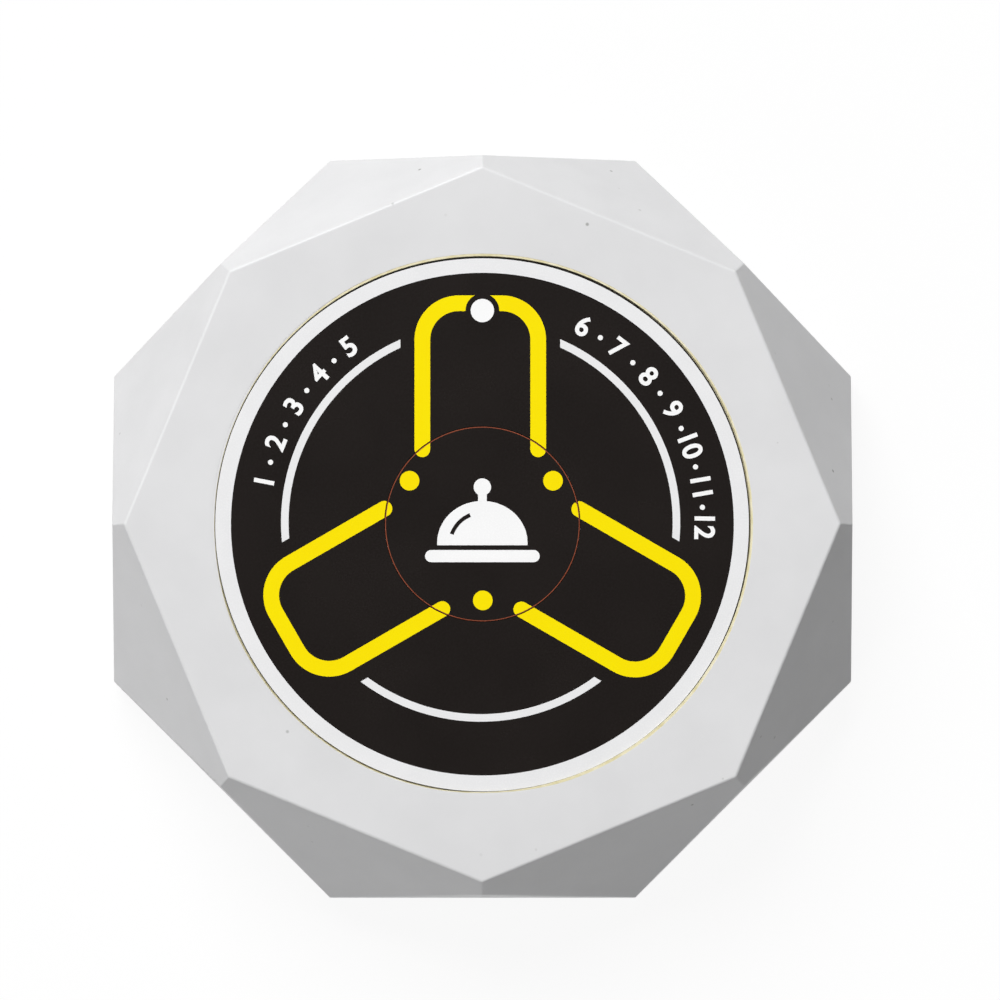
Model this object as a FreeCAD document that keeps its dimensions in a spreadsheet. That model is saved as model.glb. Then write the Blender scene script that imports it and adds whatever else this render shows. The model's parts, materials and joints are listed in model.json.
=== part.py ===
import FreeCAD, Part
import os
import re
import Sketcher

# A table-top waiter call button: an eight-sided case with a sloped facet at each corner, a round
# printed label with a round key in its middle, and the radio, switch, lamp and battery inside.
# Millimetres. The origin is on the table under the centre, +Z is up, and the lamp is towards +Y.

document = FreeCAD.newDocument("waiter_call_button")

# The driving sizes. Each is written once, here.
sizes = {
    # case
    "across_flats": 86.0,  # between two opposite walls, at the parting line
    "top_corner_inset": 1.77,  # from a wall in to the top face's corner above it
    "facet_foot": 2.5,  # from the parting line up to a facet's lowest corner
    "draft_angle": 1.0,  # lean of the walls, in degrees
    "wall": 2.0,
    "top_wall": 2.0,  # under the label
    "edge_round": 0.4,
    "base_edge_round": 0.5,
    "parting_height": 4.0,  # table to the joint between the two covers
    "groove_depth": 0.3,  # of the shadow groove along that joint
    "groove_height": 0.3,
    "floor_wall": 2.0,
    "tongue_wall": 1.0,
    "tongue_rise": 1.6,  # of the tongue above the parting line
    "fit_gap": 0.15,  # between moulded pieces that slide together
    "overrun": 1.0,  # of every cutter past the face it opens
    # case seal
    "seal_width": 0.9,
    "seal_height": 0.75,
    "seal_gap": 0.05,
    # label
    "label_margin": 7.3,  # from the label to an edge of the top face
    "adhesive_proud": 0.2,  # how far the adhesive shows round the label
    "recess_gap": 0.15,  # between the adhesive and the recess wall
    "recess_depth": 0.7,
    "adhesive_thickness": 0.1,
    "film_thickness": 0.4,
    "lamp_window_radius": 1.34,
    # key
    "key_radius": 11.2,
    "key_running_gap": 0.08,
    "key_edge_width": 0.16,  # of the key's own edge, which stands round its film
    "key_film_gap": 0.02,  # between that edge and the film
    "key_plate": 1.3,
    "key_rim": 1.2,
    "key_flange": 1.1,  # past the key's side, under the case top
    "key_flange_thickness": 0.8,
    "key_stem_radius": 2.0,
    "key_stem_drop": 0.6,  # of the stem below the flange
    "key_travel": 0.3,
    # collar round the key, and the silicone membrane between it and the board
    "collar_gap": 0.3,
    "collar_wall": 1.4,
    "collar_depth": 2.4,
    "membrane_pad": 0.8,
    "membrane_pad_radius": 1.8,
    "membrane_web": 0.65,
    # switch
    "switch_width": 6.0,
    "switch_base_height": 3.1,
    "switch_frame_sheet": 0.4,
    "switch_wing_drop": 2.0,
    "switch_wing_width": 4.0,
    "switch_bore_radius": 2.45,
    "switch_floor": 0.5,
    "dome_radius": 2.2,
    "dome_left": 0.4,  # height that stays in the snap dome when the key is down
    "dome_sheet": 0.1,
    "plunger_radius": 1.75,
    "plunger_flange_radius": 2.3,
    "plunger_flange_thickness": 0.7,
    "plunger_nub_radius": 0.6,
    "plunger_proud": 0.8,  # above the switch frame
    "plunger_gap": 0.06,
    "terminal_width": 0.7,
    "terminal_sheet": 0.3,
    "terminal_spacing": 4.5,
    "terminal_climb": 0.6,  # up the side of the switch
    "pin_tail": 0.4,  # of every soldered pin below the board
    "pin_hole_radius": 0.5,
    # circuit board
    "board_gap": 1.0,  # between the board's edge and the case bosses
    "board_thickness": 1.6,
    "board_screw_inset": 3.5,  # from the board's edge
    "board_screw_hole_radius": 1.2,
    "standoff_radius": 2.75,
    "board_screw_radius": 1.0,
    "board_screw_length": 6.0,
    "board_screw_head_radius": 2.0,
    "board_screw_head_height": 1.3,
    "thread_gap": 0.02,
    "pilot_spare": 0.8,  # of a pilot hole past its screw's tip
    "cross_width": 0.5,
    "cross_depth": 0.7,
    "copper_thickness": 0.1,
    "antenna_inset": 1.9,  # from the board's edge
    "antenna_width": 1.2,
    # radio pieces on the board
    "chip_length": 8.7,
    "chip_width": 3.9,
    "chip_thickness": 1.5,
    "chip_stand": 0.15,
    "chip_lead_spacing": 1.27,
    "chip_lead_width": 0.4,
    "chip_lead_sheet": 0.2,
    "chip_lead_reach": 1.05,
    "chip_gap": 3.5,  # from the collar's circle to the chip's middle, along X
    "chip_place_y": 8.0,
    "resonator_radius": 4.6,
    "resonator_rim": 0.4,
    "resonator_height": 3.2,
    "resonator_rim_height": 0.5,
    "resonator_gap": 0.6,  # outside the membrane
    "transistor_length": 2.9,
    "transistor_width": 1.3,
    "transistor_height": 1.1,
    "resistor_length": 2.0,
    "resistor_width": 1.25,
    "resistor_height": 0.5,
    "capacitor_height": 0.9,
    "small_part_gap": 3.4,  # from the membrane to the middles of the resistors and capacitors
    # lamp
    "lamp_inset": 6.2,  # from the label's edge to the lamp
    "lamp_radius": 1.5,
    "lamp_flange_radius": 1.9,
    "lamp_flange_height": 1.0,
    "lamp_body_height": 3.2,
    "lamp_lead_radius": 0.25,
    "lamp_lead_spacing": 2.54,
    "lamp_hole_gap": 0.1,
    # battery and its clips
    "battery_room": 0.6,  # between the battery and the floor
    "battery_radius": 5.15,
    "battery_length": 28.0,
    "battery_cap_radius": 2.6,
    "battery_cap_rise": 0.7,
    "battery_edge_round": 0.4,
    "clip_sheet": 0.4,
    "clip_gap": 0.05,
    "clip_band_width": 4.0,
    "clip_band_inset": 3.0,  # from the battery's end to the band
    "clip_plate_width": 7.0,
    "clip_plate_height": 9.0,
    "clip_strap_width": 3.0,
    "clip_dimple_radius": 1.2,
    "clip_dimple_rise": 0.6,
    "clip_pin_width": 0.7,
    # battery door
    "door_end_room": 2.8,  # past each battery clip
    "door_side_room": 2.35,  # past each side of the battery
    "door_thickness": 1.2,
    "door_ledge": 1.5,
    "door_tab_width": 6.0,
    "door_tab_spacing": 22.0,
    "door_tab_sheet": 1.0,
    "door_tab_reach": 2.2,
    "door_tab_lift": 0.5,  # of the tab's lip above the floor inside
    "door_finger_width": 8.0,
    "door_finger_rise": 2.0,
    "nail_notch_radius": 4.0,
    "nail_notch_depth": 0.6,
    # case screws
    "case_screw_inset": 6.5,  # from the inside of the wall
    "case_screw_radius": 1.25,
    "case_screw_length": 10.0,
    "case_screw_head_radius": 2.5,
    "case_screw_head_height": 1.6,
    "case_screw_hole_gap": 0.15,
    "head_gap": 0.3,
    "post_wall": 0.8,
    "boss_radius": 3.0,
    "boss_rib": 1.0,
    "joint_lift": 2.0,  # from the parting line to where the posts meet the bosses
    # feet
    "foot_drop": 0.8,
    "foot_radius": 4.0,
    "foot_sink": 0.8,
    "foot_gap": 0.1,
    "foot_edge_round": 0.3,
    "foot_inset": 8.5,  # from the outside of the wall
    # fixing holes in the floor
    "fixing_hole_radius": 2.1,
    "fixing_hole_inset": 6.5,  # inwards of a case screw
}

sheet = document.addObject("Spreadsheet::Sheet", "sizes")
for row, (alias, number) in enumerate(sizes.items(), start=1):
    sheet.set(f"A{row}", str(number))
    sheet.setAlias(f"A{row}", alias)
document.recompute()

# Counts and directions, in degrees from +X.
sides = 8
half_side = 180 / sides
case_screw_angles = [0, 90, 180, 270]
foot_angles = [45, 135, 225, 315]
board_screw_angles = [30, 150, 270]
quarter_turn = 90
antenna_start_angle = 160
antenna_sweep_angle = 100
clip_open_angle = 100
chip_leads_per_side = 7
resistor_angles = [48, 59, 121, 132, 12]
capacitor_angles = [70, 110, 168, 238, 249, 303]
transistor_angle = 290
resonator_angle = -25

# The length of a screw's cross slot, as a share of its head's radius.
cross_length_share = 1.2

# Heights and other sizes that follow from the driving ones.
derived = {
    "case_apothem": "across_flats / 2",
    "case_corner_radius": f"case_apothem / cos({half_side})",
    "top_apothem": f"(case_apothem - top_corner_inset) * cos({half_side})",
    "facet_lean": "(case_corner_radius - top_apothem) / (case_height - parting_height - facet_foot)",
    "facet_inset": "wall * sqrt(1 + facet_lean * facet_lean)",
    "wall_lean": "tan(draft_angle)",
    "floor_bottom": "foot_drop",
    "floor_top": "foot_drop + floor_wall",
    "inner_apothem": "case_apothem - wall",
    "tongue_apothem": "inner_apothem - fit_gap",
    "tongue_top": "parting_height + tongue_rise",
    "battery_height": "floor_top + battery_room + battery_radius",
    "board_bottom": "battery_height + battery_radius + clip_gap + clip_sheet + clip_gap",
    "board_top": "board_bottom + board_thickness",
    "switch_top": "board_top + switch_base_height",
    "frame_top": "switch_top + switch_frame_sheet",
    "plunger_top": "frame_top + plunger_proud",
    "key_bottom": "plunger_top + membrane_pad",
    "key_flange_bottom": "key_bottom + key_stem_drop",
    "ceiling": "key_flange_bottom + key_flange_thickness",
    "label_seat": "ceiling + top_wall",
    "case_height": "label_seat + recess_depth",
    "film_seat": "label_seat + adhesive_thickness",
    "film_top": "film_seat + film_thickness",
    "label_radius": "top_apothem - label_margin",
    "adhesive_radius": "label_radius + adhesive_proud",
    "recess_radius": "adhesive_radius + recess_gap",
    "key_opening_radius": "key_radius + key_running_gap",
    "key_film_radius": "key_radius - key_edge_width - key_film_gap",
    "key_flange_radius": "key_radius + key_flange",
    "collar_inner_radius": "key_flange_radius + collar_gap",
    "collar_outer_radius": "collar_inner_radius + collar_wall",
    "collar_bottom": "ceiling - collar_depth",
    "dome_seat": "board_top + switch_floor",
    "dome_rise": "dome_left + key_travel",
    "dome_top": "dome_seat + dome_rise",
    "pin_bottom": "board_bottom - pin_tail",
    "case_screw_circle": "inner_apothem - case_screw_inset",
    "foot_circle": "case_apothem - foot_inset",
    "fixing_circle": "case_screw_circle - fixing_hole_inset",
    "board_radius": "case_screw_circle - boss_radius - board_gap",
    "board_screw_circle": "board_radius - board_screw_inset",
    "antenna_radius": "board_radius - antenna_inset",
    "small_part_circle": "collar_outer_radius + small_part_gap",
    "lamp_place_y": "label_radius - lamp_inset",
    "lamp_centre_height": "film_top - lamp_radius",
    "lamp_bottom": "lamp_centre_height - lamp_body_height",
    "clip_plate_face": "battery_length / 2 + battery_cap_rise + clip_dimple_rise",
    "clip_pin_x": "clip_plate_face + clip_sheet / 2",
    "door_length": "2 * (clip_plate_face + clip_sheet + door_end_room + door_ledge)",
    "door_width": "2 * (battery_radius + door_side_room + door_ledge)",
    "door_ledge_height": "floor_bottom + door_thickness",
    "head_seat": "parting_height",
    "post_radius": "case_screw_head_radius + head_gap + post_wall",
    "joint_height": "parting_height + joint_lift",
}


def linked(formula):
    # Writes the sheet's name before each alias, and each derived size as its own formula.
    def spell(word):
        name = word.group(0)
        if name in derived:
            return "(" + linked(derived[name]) + ")"
        if name in sizes:
            return "sizes." + name
        return name

    return re.sub(r"[a-z_]+", spell, str(formula))


def value(formula):
    return float(sheet.evalExpression(linked(formula)))


def bind(item, **formulas):
    for name, formula in formulas.items():
        item.setExpression(name, linked(formula))


def place(item, x=0, y=0, z=0):
    for axis, formula in (("x", x), ("y", y), ("z", z)):
        item.setExpression("Placement.Base." + axis, linked(formula))


def turn(item, angle, axis=(0, 0, 1)):
    item.Placement.Rotation = FreeCAD.Rotation(FreeCAD.Vector(*axis), angle)


def polar(radius, angle):
    # The x and y formulas of a point on a circle round the case's centre.
    return f"({radius}) * cos({angle})", f"({radius}) * sin({angle})"


# Plain solids


def block(name, length, width, height, x=0, y=0, z=0):
    # A box centred on x and y, standing on z.
    item = document.addObject("Part::Box", name)
    bind(item, Length=length, Width=width, Height=height)
    place(item, f"{x} - ({length}) / 2", f"{y} - ({width}) / 2", z)
    return item


def rod(name, radius, height, x=0, y=0, z=0):
    item = document.addObject("Part::Cylinder", name)
    bind(item, Radius=radius, Height=height)
    place(item, x, y, z)
    return item


def rod_along_x(name, radius, length, x=0, y=0, z=0):
    # A cylinder along X whose middle is at x.
    item = rod(name, radius, length, f"{x} - ({length}) / 2", y, z)
    turn(item, quarter_turn, (0, 1, 0))
    return item


def fuse(name, pieces):
    item = document.addObject("Part::MultiFuse", name)
    item.Shapes = pieces
    return item


def cut(name, base, tools):
    item = document.addObject("Part::Cut", name)
    item.Base = base
    item.Tool = tools[0] if len(tools) == 1 else fuse(name + "_tools", tools)
    return item


def common(name, pieces):
    item = document.addObject("Part::MultiCommon", name)
    item.Shapes = pieces
    return item


def ring(name, inner_radius, outer_radius, height, x=0, y=0, z=0):
    outer = rod(name + "_outside", outer_radius, height, x, y, z)
    inner = rod(name + "_inside", inner_radius, f"{height} + 2 * overrun", x, y, f"{z} - overrun")
    return cut(name, outer, [inner])


def eight_sided(name, low_apothem, low, high_apothem, high, corner_angle):
    # A solid between two octagons, the lower and the upper one given by half their width across
    # flats and their height.
    sections = []
    for end, apothem, height in (("low", low_apothem, low), ("high", high_apothem, high)):
        section = document.addObject("Part::RegularPolygon", f"{name}_{end}")
        section.Polygon = sides
        bind(section, Circumradius=f"({apothem}) / cos({half_side})")
        place(section, 0, 0, height)
        turn(section, corner_angle)
        sections.append(section)
    solid = document.addObject("Part::Loft", name)
    solid.Sections = sections
    solid.Solid = True
    solid.Ruled = True
    return solid


# Bodies with sketches


def sketch_in(body, name, role, outline):
    # A closed outline of straight lines on one of the body's own planes. Each point is held at its
    # two distances from the origin.
    plane = next(f for f in body.Origin.OriginFeatures if f.Role == role)
    sketch = body.newObject("Sketcher::SketchObject", name)
    sketch.AttachmentSupport = [(plane, "")]
    sketch.MapMode = "FlatFace"
    points = [FreeCAD.Vector(value(across), value(up), 0) for across, up in outline]
    for index, point in enumerate(points):
        sketch.addGeometry(Part.LineSegment(point, points[(index + 1) % len(points)]), False)
    for index in range(len(points)):
        joined = (index + 1) % len(points)
        sketch.addConstraint(Sketcher.Constraint("Coincident", index, 2, joined, 1))
    for index, (formulas, point) in enumerate(zip(outline, points)):
        for kind, formula, distance, axis in (
            ("DistanceX", formulas[0], point.x, -2),
            ("DistanceY", formulas[1], point.y, -1),
        ):
            if formula == 0:
                sketch.addConstraint(Sketcher.Constraint("PointOnObject", index, 1, axis))
                continue
            number = sketch.addConstraint(Sketcher.Constraint(kind, -1, 1, index, 1, distance))
            label = f"{kind.lower()}_{index}"
            sketch.renameConstraint(number, label)
            sketch.setExpression("Constraints." + label, linked(formula))
    return sketch


def turned(name, outline, x=0, y=0, z=0):
    # A body of revolution about its own Z axis. The outline's points are radius and height.
    body = document.addObject("PartDesign::Body", name + "_body")
    sketch = sketch_in(body, name + "_outline", "XZ_Plane", outline)
    revolution = body.newObject("PartDesign::Revolution", name + "_turn")
    revolution.Profile = sketch
    revolution.ReferenceAxis = (sketch, ["V_Axis"])
    revolution.Angle = 360
    place(body, x, y, z)
    return body


def padded(name, outline, depth, role, x=0, y=0, z=0):
    # A body of one outline given a depth, half to each side of its plane.
    body = document.addObject("PartDesign::Body", name + "_body")
    sketch = sketch_in(body, name + "_outline", role, outline)
    pad = body.newObject("PartDesign::Pad", name + "_pad")
    pad.Profile = sketch
    pad.Midplane = True
    bind(pad, Length=depth)
    place(body, x, y, z)
    return body


def rounded_edges(name, base, radius, wanted):
    # A fillet on the edges whose two ends and length pass the test.
    document.recompute()
    item = document.addObject("Part::Fillet", name)
    item.Base = base
    chosen = [n for n, edge in enumerate(base.Shape.Edges, start=1) if wanted(edge)]
    item.Edges = [(n, value(radius), value(radius)) for n in chosen]
    return item


sub_parts = {}


def sub_part(name, item):
    item.Label = name
    sub_parts[name] = item


def cross_screw(name, radius, length, head_radius, head_height, x, y, z):
    # A screw pointing up: its head hangs below z, its shank rises from z, and the head's underside
    # has a cross recess.
    head_low = f"{z} - {head_height}"
    outline = [
        (0, 0),
        (head_radius, 0),
        (head_radius, head_height),
        (radius, head_height),
        (radius, f"{head_height} + {length} - {radius}"),
        (0, f"{head_height} + {length}"),
    ]
    shank = turned(name, outline, x, y, head_low)
    reach = f"{head_radius} * {cross_length_share}"
    low = f"{head_low} - overrun"
    depth = "cross_depth + overrun"
    slots = [
        block(name + "_slot_x", reach, "cross_width", depth, x, y, low),
        block(name + "_slot_y", "cross_width", reach, depth, x, y, low),
    ]
    return cut(name, shank, slots)


# Case top: an eight-sided prism cut by an eight-sided pyramid whose planes pass through the edges
# of the top face, so each prism corner ends in a long sloped facet.


def case_top():
    wall_height = "(case_height - parting_height)"
    prism = eight_sided(
        "top_prism",
        "case_apothem",
        "parting_height",
        f"case_apothem - {wall_height} * wall_lean",
        "case_height",
        half_side,
    )
    pyramid = eight_sided(
        "top_pyramid",
        f"top_apothem + {wall_height} * facet_lean",
        "parting_height",
        "top_apothem",
        "case_height",
        0,
    )
    sharp = common("top_sharp", [prism, pyramid])
    low = value("parting_height")
    outside = rounded_edges(
        "top_outside",
        sharp,
        "edge_round",
        lambda edge: max(vertex.Z for vertex in edge.Vertexes) > low + value("overrun"),
    )
    hollow_low = "parting_height - overrun"
    hollow_height = "(ceiling - parting_height)"
    hollow_prism = eight_sided(
        "hollow_prism",
        "inner_apothem + overrun * wall_lean",
        hollow_low,
        f"inner_apothem - {hollow_height} * wall_lean",
        "ceiling",
        half_side,
    )
    hollow_pyramid = eight_sided(
        "hollow_pyramid",
        f"top_apothem + ({wall_height} + overrun) * facet_lean - facet_inset",
        hollow_low,
        "top_apothem + (case_height - ceiling) * facet_lean - facet_inset",
        "ceiling",
        0,
    )
    hollow = common("top_hollow", [hollow_prism, hollow_pyramid])
    seal_space = eight_sided(
        "seal_space",
        "tongue_apothem + seal_gap + seal_width + seal_gap",
        hollow_low,
        "tongue_apothem + seal_gap + seal_width + seal_gap",
        "parting_height + seal_height + seal_gap",
        half_side,
    )
    shell = cut("top_shell", outside, [hollow, seal_space])

    inside = [
        ring(
            "collar",
            "collar_inner_radius",
            "collar_outer_radius",
            "collar_depth + overrun",
            z="collar_bottom",
        )
    ]
    pilots = []
    for angle in case_screw_angles:
        x, y = polar("case_screw_circle", angle)
        rise = "ceiling - joint_height"
        inside.append(rod(f"boss_{angle}", "boss_radius", f"{rise} + overrun", x, y, "joint_height"))
        rib = block(
            f"boss_rib_{angle}", "case_screw_inset", "boss_rib", rise, z="joint_height"
        )
        rib_x, rib_y = polar("(case_screw_circle + inner_apothem) / 2", angle)
        place(
            rib,
            *corner_of_turned(rib_x, rib_y, "case_screw_inset", "boss_rib", angle),
            "joint_height",
        )
        turn(rib, angle)
        inside.append(rib)
        reach = "case_screw_length - joint_lift + pilot_spare"
        pilots.append(
            rod(
                f"boss_pilot_{angle}",
                "case_screw_radius + thread_gap",
                f"{reach} + overrun",
                x,
                y,
                "joint_height - overrun",
            )
        )
    for angle in board_screw_angles:
        x, y = polar("board_screw_circle", angle)
        inside.append(
            rod(
                f"standoff_{angle}", "standoff_radius", "ceiling - board_top + overrun", x, y, "board_top"
            )
        )
        reach = "board_screw_length - board_thickness + pilot_spare"
        pilots.append(
            rod(
                f"standoff_pilot_{angle}",
                "board_screw_radius + thread_gap",
                f"{reach} + overrun",
                x,
                y,
                "board_top - overrun",
            )
        )
    filled = fuse("top_filled", [shell] + inside)
    openings = [
        rod("label_recess", "recess_radius", "recess_depth + overrun", z="label_seat"),
        rod("key_opening", "key_opening_radius", "top_wall + 2 * overrun", z="ceiling - overrun"),
        rod(
            "lamp_opening",
            "lamp_radius + lamp_hole_gap",
            "top_wall + 2 * overrun",
            0,
            "lamp_place_y",
            "ceiling - overrun",
        ),
    ]
    collar_bore = rod(
        "collar_bore",
        "collar_inner_radius",
        "collar_depth + overrun",
        z="ceiling - collar_depth - overrun",
    )
    sub_part("top_cover", cut("top_cover", filled, openings + pilots + [collar_bore]))


def corner_of_turned(x, y, length, width, angle):
    # Where a box's own corner lies when the box is centred on x and y and turned by an angle.
    corner_x = f"{x} - ({length}) / 2 * cos({angle}) + ({width}) / 2 * sin({angle})"
    corner_y = f"{y} - ({length}) / 2 * sin({angle}) - ({width}) / 2 * cos({angle})"
    return corner_x, corner_y


def case_bottom():
    depth = "(parting_height - floor_bottom)"
    sharp = eight_sided(
        "bottom_sharp",
        f"case_apothem - {depth} * wall_lean",
        "floor_bottom",
        "case_apothem",
        "parting_height",
        half_side,
    )
    high = value("parting_height")
    outside = rounded_edges(
        "bottom_outside",
        sharp,
        "base_edge_round",
        lambda edge: min(vertex.Z for vertex in edge.Vertexes) < high - value("edge_round"),
    )
    tongue = eight_sided(
        "tongue_outside", "tongue_apothem", "floor_bottom", "tongue_apothem", "tongue_top", half_side
    )
    tongue_base = common(
        "tongue_base",
        [tongue, rod("tongue_reach", "across_flats", "tongue_top", z="floor_top")],
    )
    hollow = eight_sided(
        "bottom_hollow",
        "tongue_apothem - tongue_wall",
        "floor_top",
        "tongue_apothem - tongue_wall",
        "tongue_top + overrun",
        half_side,
    )
    # a groove all round leaves a thin shadow line between the covers
    groove_low = "parting_height - groove_height"
    groove_high = "parting_height + overrun"
    around, core = (
        eight_sided(name, apothem, groove_low, apothem, groove_high, half_side)
        for name, apothem in (
            ("groove_outside", "case_apothem + overrun"),
            ("groove_inside", "case_apothem - groove_depth"),
        )
    )
    groove = cut("parting_groove", around, [core])
    shell = cut("bottom_shell", fuse("bottom_filled", [outside, tongue_base]), [hollow, groove])
    posts = []
    holes = []
    for angle in case_screw_angles:
        x, y = polar("case_screw_circle", angle)
        posts.append(
            rod(f"post_{angle}", "post_radius", "joint_height - floor_bottom", x, y, "floor_bottom")
        )
        head_space = "case_screw_head_radius + head_gap"
        holes.append(
            rod(
                f"head_space_{angle}",
                head_space,
                "head_seat - floor_bottom + overrun",
                x,
                y,
                "floor_bottom - overrun",
            )
        )
        holes.append(
            rod(
                f"screw_way_{angle}",
                "case_screw_radius + case_screw_hole_gap",
                "joint_height + overrun",
                x,
                y,
            )
        )
    for angle in foot_angles:
        x, y = polar("foot_circle", angle)
        holes.append(
            rod(
                f"foot_seat_{angle}",
                "foot_radius + foot_gap",
                "foot_sink + overrun",
                x,
                y,
                "floor_bottom - overrun",
            )
        )
    for side in (-1, 1):
        y = f"{side} * fixing_circle"
        holes.append(rod(f"fixing_hole_{side + 1}", "fixing_hole_radius", "floor_top + overrun", 0, y))
    holes.append(
        block(
            "door_seat",
            "door_length",
            "door_width",
            "door_thickness + overrun",
            z="floor_bottom - overrun",
        )
    )
    holes.append(
        block(
            "battery_opening",
            "door_length - 2 * door_ledge",
            "door_width - 2 * door_ledge",
            "floor_top + overrun",
        )
    )
    holes.append(
        rod(
            "nail_notch",
            "nail_notch_radius",
            "nail_notch_depth + overrun",
            0,
            "door_width / 2",
            "floor_bottom - overrun",
        )
    )
    filled = fuse("bottom_with_posts", [shell] + posts)
    sub_part("bottom_cover", cut("bottom_cover", filled, holes))


def case_seal():
    def outline(name, apothem, low, height):
        return eight_sided(name, apothem, low, apothem, f"{low} + {height}", half_side)

    outside = outline(
        "seal_outside", "tongue_apothem + seal_gap + seal_width", "parting_height", "seal_height"
    )
    inside = outline(
        "seal_inside",
        "tongue_apothem + seal_gap",
        "parting_height - overrun",
        "seal_height + 2 * overrun",
    )
    sub_part("case_seal", cut("case_seal", outside, [inside]))


def case_screws():
    screws = []
    for angle in case_screw_angles:
        x, y = polar("case_screw_circle", angle)
        screws.append(
            cross_screw(
                f"case_screw_{angle}",
                "case_screw_radius",
                "case_screw_length",
                "case_screw_head_radius",
                "case_screw_head_height",
                x,
                y,
                "head_seat",
            )
        )
    sub_part("case_screws", fuse("case_screws", screws))


def rubber_feet():
    outline = [
        (0, 0),
        ("foot_radius - foot_edge_round", 0),
        ("foot_radius", "foot_edge_round"),
        ("foot_radius", "foot_drop + foot_sink"),
        (0, "foot_drop + foot_sink"),
    ]
    feet = [turned(f"foot_{angle}", outline, *polar("foot_circle", angle)) for angle in foot_angles]
    sub_part("rubber_feet", fuse("rubber_feet", feet))


# Label, in two layers: adhesive below, printed film above, open for the key and the lamp.


def label():
    for name, radius, low, thickness in (
        ("label_adhesive", "adhesive_radius", "label_seat", "adhesive_thickness"),
        ("label_film", "label_radius", "film_seat", "film_thickness"),
    ):
        disc = rod(name + "_disc", radius, thickness, z=low)
        deep = f"{thickness} + 2 * overrun"
        key_hole = rod(name + "_key_hole", "key_opening_radius", deep, z=f"{low} - overrun")
        lamp_hole = rod(
            name + "_lamp_hole", "lamp_window_radius", deep, 0, "lamp_place_y", f"{low} - overrun"
        )
        sub_part(name, cut(name, disc, [key_hole, lamp_hole]))


# Key: a shallow cup with a flange that stops it under the case top and a stem that works the switch.
# Its film lies in a shallow seat, whose thin edge is level with the film.


def key():
    hollow = "label_seat - key_plate - key_bottom"
    outline = [
        (0, 0),
        ("key_stem_radius", 0),
        ("key_stem_radius", hollow),
        ("key_radius - key_rim", hollow),
        ("key_radius - key_rim", "key_stem_drop"),
        ("key_flange_radius", "key_stem_drop"),
        ("key_flange_radius", "key_stem_drop + key_flange_thickness"),
        ("key_radius", "key_stem_drop + key_flange_thickness"),
        ("key_radius", "film_top - key_bottom"),
        ("key_radius - key_edge_width", "film_top - key_bottom"),
        ("key_radius - key_edge_width", "label_seat - key_bottom"),
        (0, "label_seat - key_bottom"),
    ]
    sub_part("call_key", turned("call_key", outline, z="key_bottom"))
    sub_part("key_adhesive", rod("key_adhesive", "key_film_radius", "adhesive_thickness", z="label_seat"))
    sub_part("key_film", rod("key_film", "key_film_radius", "film_thickness", z="film_seat"))


def key_membrane():
    # A silicone cup, upside down on the board, whose top web carries the pad under the key's stem.
    pad_low = "plunger_top - board_top"
    wall_top = "collar_bottom - board_top"
    outline = [
        (0, pad_low),
        ("membrane_pad_radius", pad_low),
        ("collar_inner_radius", f"{wall_top} - membrane_web"),
        ("collar_inner_radius", 0),
        ("collar_outer_radius", 0),
        ("collar_outer_radius", wall_top),
        ("collar_inner_radius", wall_top),
        ("membrane_pad_radius", f"{pad_low} + membrane_web"),
        ("membrane_pad_radius", f"{pad_low} + membrane_pad"),
        (0, f"{pad_low} + membrane_pad"),
    ]
    sub_part("key_membrane", turned("key_membrane", outline, z="board_top"))


# Switch under the key


def switch():
    base = block("switch_block", "switch_width", "switch_width", "switch_base_height", z="board_top")
    bore = rod("switch_bore", "switch_bore_radius", "switch_base_height + overrun", z="dome_seat")
    sub_part("switch_base", cut("switch_base", base, [bore]))

    plate = block("frame_plate", "switch_width", "switch_width", "switch_frame_sheet", z="switch_top")
    wings = []
    for side in (-1, 1):
        wings.append(
            block(
                f"frame_wing_{side + 1}",
                "switch_wing_width",
                "terminal_sheet",
                "switch_wing_drop + switch_frame_sheet",
                0,
                f"{side} * (switch_width + terminal_sheet) / 2",
                "switch_top - switch_wing_drop",
            )
        )
    frame = fuse("frame_bent", [plate] + wings)
    frame_hole = rod(
        "frame_hole",
        "plunger_radius + plunger_gap",
        "switch_frame_sheet + 2 * overrun",
        z="switch_top - overrun",
    )
    sub_part("switch_frame", cut("switch_frame", frame, [frame_hole]))

    flange_low = "switch_top - plunger_flange_thickness - dome_top"
    outline = [
        (0, 0),
        ("plunger_nub_radius", 0),
        ("plunger_nub_radius", flange_low),
        ("plunger_flange_radius", flange_low),
        ("plunger_flange_radius", "switch_top - dome_top"),
        ("plunger_radius", "switch_top - dome_top"),
        ("plunger_radius", "plunger_top - dome_top"),
        (0, "plunger_top - dome_top"),
    ]
    sub_part("switch_plunger", turned("switch_plunger", outline, z="dome_top"))

    # The snap dome is a cap of a thin ball, whose radius follows from the cap's width and rise.
    ball_radius = "(dome_radius * dome_radius + dome_rise * dome_rise) / (2 * dome_rise)"
    balls = []
    for end, less in (("outside", "0"), ("inside", "dome_sheet")):
        ball = document.addObject("Part::Sphere", "dome_ball_" + end)
        bind(ball, Radius=f"{ball_radius} - {less}")
        place(ball, 0, 0, f"dome_top - {ball_radius}")
        balls.append(ball)
    cap = cut("dome_shell", balls[0], [balls[1]])
    reach = rod("dome_reach", "dome_radius + dome_sheet", "dome_rise + overrun", z="dome_seat")
    sub_part("switch_dome", common("switch_dome", [cap, reach]))

    legs = []
    for side in (-1, 1):
        for row in (-1, 1):
            legs.append(
                block(
                    f"terminal_{side + 1}_{row + 1}",
                    "terminal_sheet",
                    "terminal_width",
                    "board_top + terminal_climb - pin_bottom",
                    f"{side} * (switch_width + terminal_sheet) / 2",
                    f"{row} * terminal_spacing / 2",
                    "pin_bottom",
                )
            )
    sub_part("switch_terminals", fuse("switch_terminals", legs))


# Circuit board with its holes, screws and radio pieces


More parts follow.
